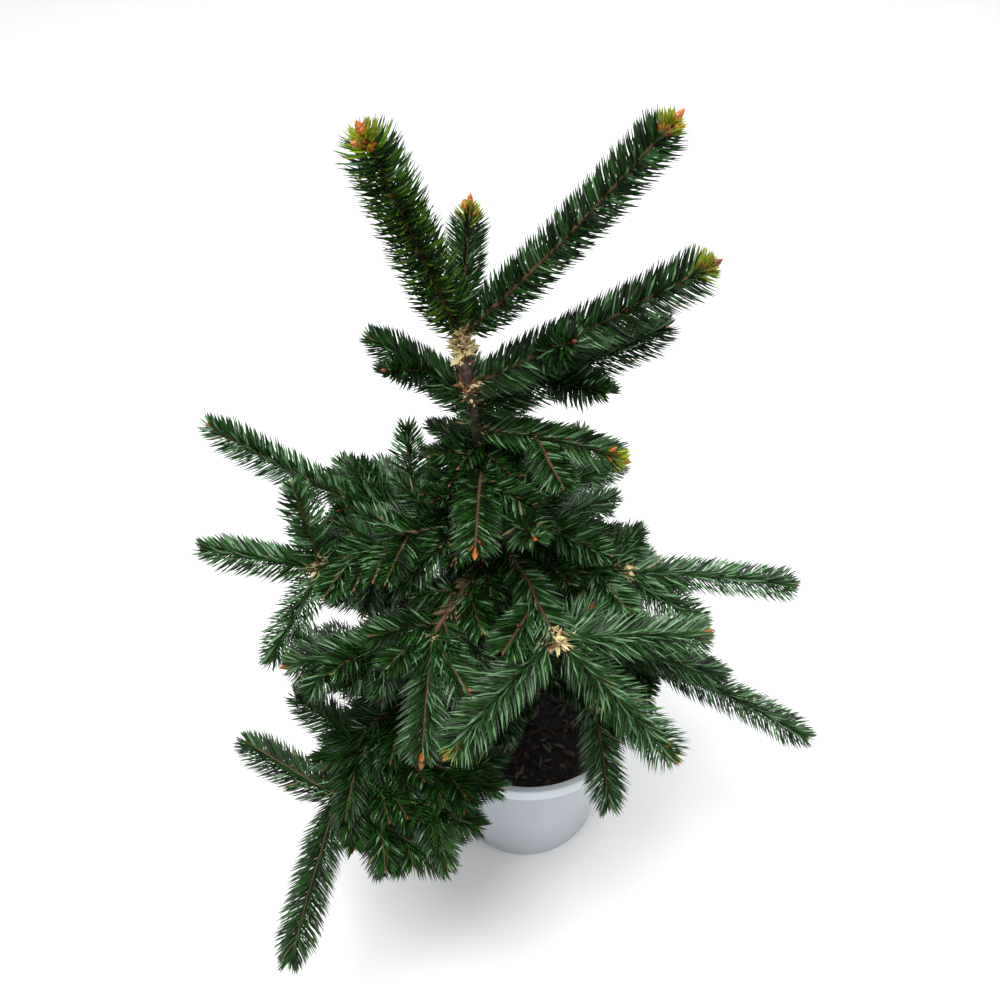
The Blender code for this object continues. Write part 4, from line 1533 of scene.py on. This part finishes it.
class NeedleSettings(bpy.types.PropertyGroup):
    """Size, stand and colours of the needles."""

    width: FloatProperty(name="Width", description="Width of a needle", default=0.00138, unit="LENGTH")
    length: FloatProperty(name="Length", description="Length of the needles against the rule's", default=1.0)
    spacing: FloatProperty(
        name="Spacing", description="Way along a shoot from one needle to the next", default=0.00026, unit="LENGTH"
    )
    lean: FloatProperty(
        name="Lean", description="Angle of a needle away from its shoot", default=math.radians(54), unit="ROTATION"
    )
    old: FloatVectorProperty(
        name="Old", description="Oldest needles", default=tone(22, 40, 13), size=4, subtype="COLOR"
    )
    green: FloatVectorProperty(
        name="Green", description="Most needles", default=tone(38, 75, 28), size=4, subtype="COLOR"
    )
    lively: FloatVectorProperty(
        name="Lively", description="Brighter needles of the top shoots", default=tone(78, 116, 26), size=4, subtype="COLOR"
    )
    # Partly a real bluish bloom and partly painted highlight: these paler needles stand in for glints of light along
    # the needles.
    pale: FloatVectorProperty(
        name="Pale", description="Needles with a bluish bloom", default=tone(101, 139, 97), size=4, subtype="COLOR"
    )
    fresh: FloatVectorProperty(
        name="Fresh", description="Needles at the tips", default=tone(130, 146, 34), size=4, subtype="COLOR"
    )
    straw: FloatVectorProperty(
        name="Straw", description="Dead needles", default=tone(132, 114, 80), size=4, subtype="COLOR"
    )


class BudSettings(bpy.types.PropertyGroup):
    """Colours of buds and dry scales."""

    orange: FloatVectorProperty(
        name="Orange", description="Most buds", default=tone(150, 63, 17), size=4, subtype="COLOR"
    )
    red: FloatVectorProperty(
        name="Red", description="Dull red buds", default=tone(106, 48, 29), size=4, subtype="COLOR"
    )
    straw: FloatVectorProperty(
        name="Straw", description="Dry bud scales", default=tone(240, 222, 164), size=4, subtype="COLOR"
    )
    brown: FloatVectorProperty(
        name="Brown", description="Older bud scales", default=tone(138, 90, 56), size=4, subtype="COLOR"
    )


class StageSettings(bpy.types.PropertyGroup):
    """Floor, light and camera."""

    floor: FloatVectorProperty(
        name="Floor", description="Pale floor", default=(0.76, 0.76, 0.76, 1.0), size=4, subtype="COLOR"
    )
    key: FloatProperty(name="Key light", description="Power of the key light", default=58.0, unit="POWER")
    veil: FloatProperty(name="Veil", description="Strength of the even light from above", default=1.2)
    sky: FloatProperty(name="Sky light", description="Strength of the light from all round", default=0.52)
    focal_length: FloatProperty(name="Focal length", description="Lens in millimetres", default=38.59)


# Operators


def show_piece(piece, slot, *nodes):
    """Makes a finished piece ride on the plant, and hides the parts that it stands for. The slot is not used."""
    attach(piece, "root")
    if nodes:
        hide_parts(*nodes)


def round_off(mesh, angle=45):
    mesh.shade_smooth()
    mesh.set_sharp_from_angle(angle=math.radians(angle))


def pot_bore(height):
    """The pot's inner radius, which narrows with the outer wall towards the floor."""
    top = RIM_RADIUS - RIM_OVERHANG - POT_WALL
    bottom = POT_FOOT_RADIUS - POT_WALL
    return bottom + (top - bottom) * (height - POT_FLOOR) / (POT_HEIGHT - POT_FLOOR)


class SPRUCE_OT_pot(bpy.types.Operator):
    """Turn the pot, with its rolled rim and its drain holes"""

    bl_idname = "spruce.pot"
    bl_label = "Pot"

    def execute(self, context):
        look = context.scene.spruce_pot
        edge = look.rim_rounding
        band_foot = POT_HEIGHT - RIM_DEPTH
        wall_top = pot_bore(band_foot) + POT_WALL
        lip = pot_bore(POT_HEIGHT)
        profile = [(0.0, 0.0), (DRAIN_CIRCLE + 2 * DRAIN_RADIUS, 0.0)]
        profile += rounded_corner((POT_FOOT_RADIUS - 0.002, 0.002), 0.002, -90, -5)
        for step in range(1, 12):
            height = 0.002 + (band_foot - 0.006) * step / 11
            profile.append((pot_bore(height) + POT_WALL, height))
        profile += rounded_corner((wall_top + 0.0012, band_foot - 0.0012), 0.0012, 180, 90, 3)
        profile += rounded_corner((RIM_RADIUS - 0.0008, band_foot + 0.0008), 0.0008, -90, 0, 3)
        profile += rounded_corner((RIM_RADIUS - edge, POT_HEIGHT - edge), edge, 0, 90)
        profile += rounded_corner((lip + edge * 0.8, POT_HEIGHT - edge * 0.8), edge * 0.8, 90, 180)
        for step in range(1, 11):
            height = POT_HEIGHT - 0.004 - (POT_HEIGHT - POT_FLOOR - 0.006) * step / 10
            profile.append((pot_bore(height), height))
        profile += [(pot_bore(POT_FLOOR) - 0.001, POT_FLOOR), (0.0, POT_FLOOR)]
        pot = new_object("pot_shell", turned_mesh("pot_shell", profile, 128))
        for hole in range(DRAIN_HOLES):
            turn = 2 * math.pi * (hole + DRAIN_TURN) / DRAIN_HOLES
            centre = Vector((math.cos(turn), math.sin(turn), 0.0)) * DRAIN_CIRCLE
            path = [centre - Vector((0, 0, POT_FLOOR)), centre + Vector((0, 0, 2 * POT_FLOOR))]
            vertices, faces = bar_mesh("bore", path, lambda along: DRAIN_RADIUS, 24, lambda spot, radius: 0.0)
            cutter = new_object("bore", mesh_from("bore", vertices, faces))
            boolean = pot.modifiers.new("drain", "BOOLEAN")
            boolean.operation = "DIFFERENCE"
            boolean.object = cutter
            graph = context.evaluated_depsgraph_get()
            holed = bpy.data.meshes.new_from_object(pot.evaluated_get(graph))
            pot.modifiers.clear()
            pot.data = holed
            bpy.data.objects.remove(cutter, do_unlink=True)
        round_off(pot.data, 38)
        pot.data.materials.clear()
        pot.data.materials.append(pot_finish(tuple(look.colour)))
        show_piece(pot, "pot", "pot")
        return {"FINISHED"}


def crumb_height(x, y, top):
    """The top of the compost at a place, with lumps, crumbs and a clear ring at the wall."""
    radius = math.hypot(x, y)
    fade = min(max((pot_bore(top) - 0.002 - radius) / 0.008, 0.0), 1.0)
    lumps = noise.noise(Vector((x * 60, y * 60, 3.0)))
    crumbs = noise.noise(Vector((x * 240, y * 240, 9.0)))
    grains = noise.noise(Vector((x * 620, y * 620, 1.0)))
    return top + (0.55 * lumps + 0.35 * crumbs + 0.22 * grains) * fade


class SPRUCE_OT_compost(bpy.types.Operator):
    """Fill the pot with crumbly compost, and lay bark chips and rootlets on it"""

    bl_idname = "spruce.compost"
    bl_label = "Compost"

    def execute(self, context):
        look = context.scene.spruce_compost
        rng = random.Random(5)
        top = TRUNK_FOOT - GAP
        bottom = POT_FLOOR + GAP
        steps = 150
        outer = pot_bore(top) - GAP
        profile = [(0.0, bottom), (pot_bore(bottom) - GAP, bottom), (outer, top - 0.001)]
        profile += [(outer * (60 - ring) / 60, top) for ring in range(59)]
        profile.append((0.0, top))
        fill = new_object("compost_fill", turned_mesh("compost_fill", profile, steps))
        for vertex in fill.data.vertices:
            if vertex.co.z > top - 0.0005:
                x, y = vertex.co.x, vertex.co.y
                vertex.co.z = top + (crumb_height(x, y, top) - top) * look.roughness
        round_off(fill.data, 80)
        fill.data.materials.append(compost_finish(tuple(look.colour)))
        show_piece(fill, "compost", "compost")
        self.scatter_chips(look, rng, top)
        self.lay_rootlets(look, rng, top)
        return {"FINISHED"}

    def scatter_chips(self, look, rng, top):
        reach = pot_bore(top) - 0.005
        kinds = {
            "chips_dark": (tone(42, 35, 30), 0.70),
            "chips_red": (tone(76, 54, 45), 0.18),
            "chips_grey": (tone(88, 82, 76), 0.12),
        }
        for number, (name, (colour, share)) in enumerate(kinds.items()):
            stand = Stand()
            for chip in range(round(look.chips * share)):
                radius = reach * math.sqrt(rng.random())
                turn = rng.uniform(0, 2 * math.pi)
                spot = Vector((radius * math.cos(turn), radius * math.sin(turn), 0.0))
                if (spot - trunk_point(TRUNK_FOOT)).to_2d().length < FLARE_RADIUS + 0.003:
                    continue
                size = 0.0030 + 0.0090 * rng.random() ** 1.6
                aim = heading(rng.uniform(0, 360), rng.uniform(-12, 30))
                spot.z = crumb_height(spot.x, spot.y, top) * look.roughness + top * (1 - look.roughness)
                spot.z += size * 0.10
                across = Vector((0, 0, 1)).cross(aim)
                stand.add(spot - aim * size * 0.5, aim, across, size, size * rng.uniform(0.35, 0.8))
            piece = stand_pieces(name, stand, chip_mesh(), chip_finish(name, colour), 1.0, 0.1, 0.7, number)
            piece.data.shade_flat()
            show_piece(piece, "compost")

    def lay_rootlets(self, look, rng, top):
        lines = []
        reach = pot_bore(top) - 0.008
        for number in range(look.rootlets):
            radius = reach * math.sqrt(rng.random())
            turn = rng.uniform(0, 2 * math.pi)
            spot = Vector((radius * math.cos(turn), radius * math.sin(turn), top + 0.001))
            way = rng.uniform(0, 360)
            points = [spot]
            for step in range(rng.randint(4, 9)):
                way += rng.uniform(-38, 38)
                nearer = points[-1] + heading(way, 0) * 0.0026
                if nearer.to_2d().length > reach:
                    break
                nearer.z = top + 0.0008 + 0.0012 * rng.random()
                points.append(nearer)
            if len(points) > 3:
                lines.append((points, [0.00032] * (len(points) - 1) + [0.00012]))
        finish = chip_finish("rootlet_fibre", tone(122, 98, 74))
        piece = line_pieces("rootlets", lines, finish, 5)
        round_off(piece.data, 80)
        show_piece(piece, "compost")


def bark_relief(height):
    """Flakes and cracks that run round and along a limb, as far as it is thick."""

    def relief(spot, radius):
        flakes = noise.noise(Vector((spot.x * 420, spot.y * 420, spot.z * 170)))
        cracks = abs(noise.noise(Vector((spot.x * 260 + 9, spot.y * 260, spot.z * 320))))
        pegs = noise.noise(Vector((spot.x * 900, spot.y * 900, spot.z * 700 + 4)))
        share = min(radius / TRUNK_FOOT_RADIUS, 1.0)
        return height * share * (0.75 * flakes - 0.9 * cracks + 0.35 * pegs)

    return relief


class SPRUCE_OT_bark(bpy.types.Operator):
    """Give the trunk and the boughs their bark"""

    bl_idname = "spruce.bark"
    bl_label = "Trunk and boughs"

    def execute(self, context):
        look = context.scene.spruce_bark
        relief = bark_relief(look.relief)
        span = TRUNK_TOP - TRUNK_FOOT
        path = [trunk_point(TRUNK_FOOT + span * step / 210) for step in range(211)]

        def girth(along):
            return trunk_radius(TRUNK_FOOT + span * along)

        vertices, faces = bar_mesh("trunk_bark", path, girth, 30, relief)
        for vertex in vertices[:30]:
            vertex.z = TRUNK_FOOT
        trunk = new_object("trunk_bark", mesh_from("trunk_bark", vertices, faces))
        ridge = tuple(look.colour)
        deep = shaded(ridge, 0.28)
        round_off(trunk.data, 70)
        trunk.data.materials.append(bark_finish("trunk_bark", deep, ridge, tone(128, 118, 104)))
        show_piece(trunk, "bark", "trunk")
        vertices, faces = [], []
        for bough in BOUGHS:
            line = smoothed(bough_path(bough), 12)
            some, joined = bar_mesh(bough.name, line, bough_radius, 14, relief)
            first = len(vertices)
            vertices += some
            faces += [tuple(first + corner for corner in face) for face in joined]
        boughs = new_object("bough_bark", mesh_from("bough_bark", vertices, faces))
        round_off(boughs.data, 70)
        twig = tuple(look.twig_colour)
        boughs.data.materials.append(bark_finish("bough_bark", shaded(twig, 0.32), ridge, tone(134, 118, 98)))
        show_piece(boughs, "bough_bark", *[bough.name for bough in BOUGHS])
        return {"FINISHED"}


class SPRUCE_OT_twigs(bpy.types.Operator):
    """Grow the stems, shoots and fine twigs that carry the needles"""

    bl_idname = "spruce.twigs"
    bl_label = "Twigs"

    def execute(self, context):
        look = context.scene.spruce_bark
        lines = []
        for shoot in grow():
            last = len(shoot.path) - 1
            radii = [shoot_radius(shoot, step / last) for step in range(last + 1)]
            if shoot.forks:
                radii[-1] *= 1.25
            lines.append((shoot.path, radii))
        twigs = line_pieces("twigs", lines, twig_finish(tuple(look.twig_colour)), 7)
        round_off(twigs.data, 70)
        show_piece(twigs, "bough_bark", *[mass.name for mass in MASSES])
        return {"FINISHED"}


class SPRUCE_OT_needles(bpy.types.Operator):
    """Stand the needles on every shoot, each green as a piece of its own"""

    bl_idname = "spruce.needles"
    bl_label = "Needles"

    def execute(self, context):
        look = context.scene.spruce_needles
        colours = {
            "needles_old": look.old,
            "needles_green": look.green,
            "needles_lively": look.lively,
            "needles_pale": look.pale,
            "needles_fresh": look.fresh,
            "needles_straw": look.straw,
        }
        stands = {kind: Stand() for kind in colours}
        rng = random.Random(7)
        for shoot in grow() + clothed_limbs():
            dress_shoot(shoot, look, stands, rng)
        for kind, colour in colours.items():
            finish = needle_finish(kind, tuple(colour))
            for number, stand in enumerate(clear_stand(stands[kind]).dealt(NEEDLES_A_PIECE), 1):
                name = f"{kind}_{number}"
                piece = stand_pieces(name, stand, needle_mesh(), finish, look.width, 0.12, 0.30, number)
                piece.data.shade_flat()
                show_piece(piece, "foliage")
        return {"FINISHED"}


class SPRUCE_OT_buds(bpy.types.Operator):
    """Set buds on the tips, and dry scales round the forks"""

    bl_idname = "spruce.buds"
    bl_label = "Buds and scales"

    def execute(self, context):
        look = context.scene.spruce_buds
        shoots = grow()
        finishes = {
            "buds_orange": bud_finish("buds_orange", tuple(look.orange), tone(204, 120, 32)),
            "buds_red": bud_finish("buds_red", tuple(look.red), tone(150, 74, 40)),
        }
        for kind, stand in bud_stands(shoots, random.Random(11)).items():
            piece = stand_pieces(kind, stand, bud_mesh(), finishes[kind], 1.0, 0.05, 3.1, 3)
            round_off(piece.data, 50)
            show_piece(piece, "bough_bark")
        colours = {"scales_pale": look.straw, "scales_brown": look.brown}
        for kind, stand in scale_stands(shoots, random.Random(13)).items():
            finish = scale_finish(kind, tuple(colours[kind]))
            piece = stand_pieces(kind, stand, scale_mesh(), finish, 1.0, 0.1, 0.8, 4)
            piece.data.shade_flat()
            show_piece(piece, "bough_bark")
        return {"FINISHED"}


class SPRUCE_OT_stage(bpy.types.Operator):
    """Lay the floor and set the light and the camera"""

    bl_idname = "spruce.stage"
    bl_label = "Stage"

    def execute(self, context):
        look = context.scene.spruce_stage
        half = 9.0
        corners = [(-half, -half, 0.0), (half, -half, 0.0), (half, half, 0.0), (-half, half, 0.0)]
        floor = new_object("studio_floor", mesh_from("studio_floor", corners, [(0, 1, 2, 3)], closed=False))
        finish = Finish("studio_floor", 0.8)
        tiny = finish.noise(3.0, 2.0)
        colour = tuple(look.floor)
        finish.paint(finish.ramp(tiny, (0.3, shaded(colour, 0.985)), (0.7, colour)))
        floor.data.materials.append(finish.material)
        lamps = (
            ("key", (-0.55, -0.45, 2.5), look.key, 1.2),
            ("fill", (1.5, -1.0, 1.8), look.key * 0.22, 1.6),
            ("back", (0.4, 1.6, 2.0), look.key * 0.40, 1.6),
        )
        for name, place, power, size in lamps:
            lamp = bpy.data.lights.new(name, "AREA")
            lamp.energy = power
            lamp.size = size
            holder = new_object(name, lamp)
            holder.location = place
            aim = Vector((0, 0, 0.35)) - Vector(place)
            holder.rotation_euler = aim.to_track_quat("-Z", "Y").to_euler()
        veil = bpy.data.lights.new("veil", "SUN")
        veil.energy = look.veil
        veil.angle = math.radians(70)
        new_object("veil", veil)
        world = bpy.data.worlds.new("soft_sky")
        world.use_nodes = True
        backdrop = world.node_tree.nodes["Background"]
        backdrop.inputs["Color"].default_value = (0.97, 0.98, 1.0, 1.0)
        backdrop.inputs["Strength"].default_value = look.sky
        context.scene.world = world
        camera = bpy.data.cameras.new("camera")
        camera.sensor_width = 36.0
        camera.lens = look.focal_length
        camera.clip_end = 50.0
        eye = new_object("camera", camera)
        eye.location = (-0.0244, -0.5689, 0.9572)
        eye.rotation_euler = (math.radians(46.0), 0.0, 0.0)
        context.scene.camera = eye
        context.scene.view_settings.view_transform = "Standard"
        return {"FINISHED"}


class SPRUCE_PT_panel(bpy.types.Panel):
    """The steps that dress the spruce, in order"""

    bl_idname = "SPRUCE_PT_panel"
    bl_label = "Potted spruce"
    bl_space_type = "VIEW_3D"
    bl_region_type = "UI"
    bl_category = "Spruce"

    def draw(self, context):
        for operator in OPERATORS:
            self.layout.operator(operator.bl_idname)
        for name in SETTINGS:
            column = self.layout.column(align=True)
            group = getattr(context.scene, name)
            for title in group.bl_rna.properties.keys():
                if title not in ("rna_type", "name"):
                    column.prop(group, title)


SETTINGS = {
    "spruce_pot": PotSettings,
    "spruce_compost": CompostSettings,
    "spruce_bark": BarkSettings,
    "spruce_needles": NeedleSettings,
    "spruce_buds": BudSettings,
    "spruce_stage": StageSettings,
}
OPERATORS = (
    SPRUCE_OT_stage,
    SPRUCE_OT_pot,
    SPRUCE_OT_compost,
    SPRUCE_OT_bark,
    SPRUCE_OT_twigs,
    SPRUCE_OT_needles,
    SPRUCE_OT_buds,
)


def register():
    for kind in (*SETTINGS.values(), *OPERATORS, SPRUCE_PT_panel):
        bpy.utils.register_class(kind)
    for name, kind in SETTINGS.items():
        setattr(bpy.types.Scene, name, PointerProperty(type=kind))


def unregister():
    for name in SETTINGS:
        delattr(bpy.types.Scene, name)
    for kind in (SPRUCE_PT_panel, *OPERATORS, *SETTINGS.values()):
        bpy.utils.unregister_class(kind)


def main():
    register()
    bpy.ops.spruce.stage()
    bpy.ops.spruce.pot()
    bpy.ops.spruce.compost()
    bpy.ops.spruce.bark()
    bpy.ops.spruce.twigs()
    bpy.ops.spruce.needles()
    bpy.ops.spruce.buds()


if __name__ == "__main__":
    main()
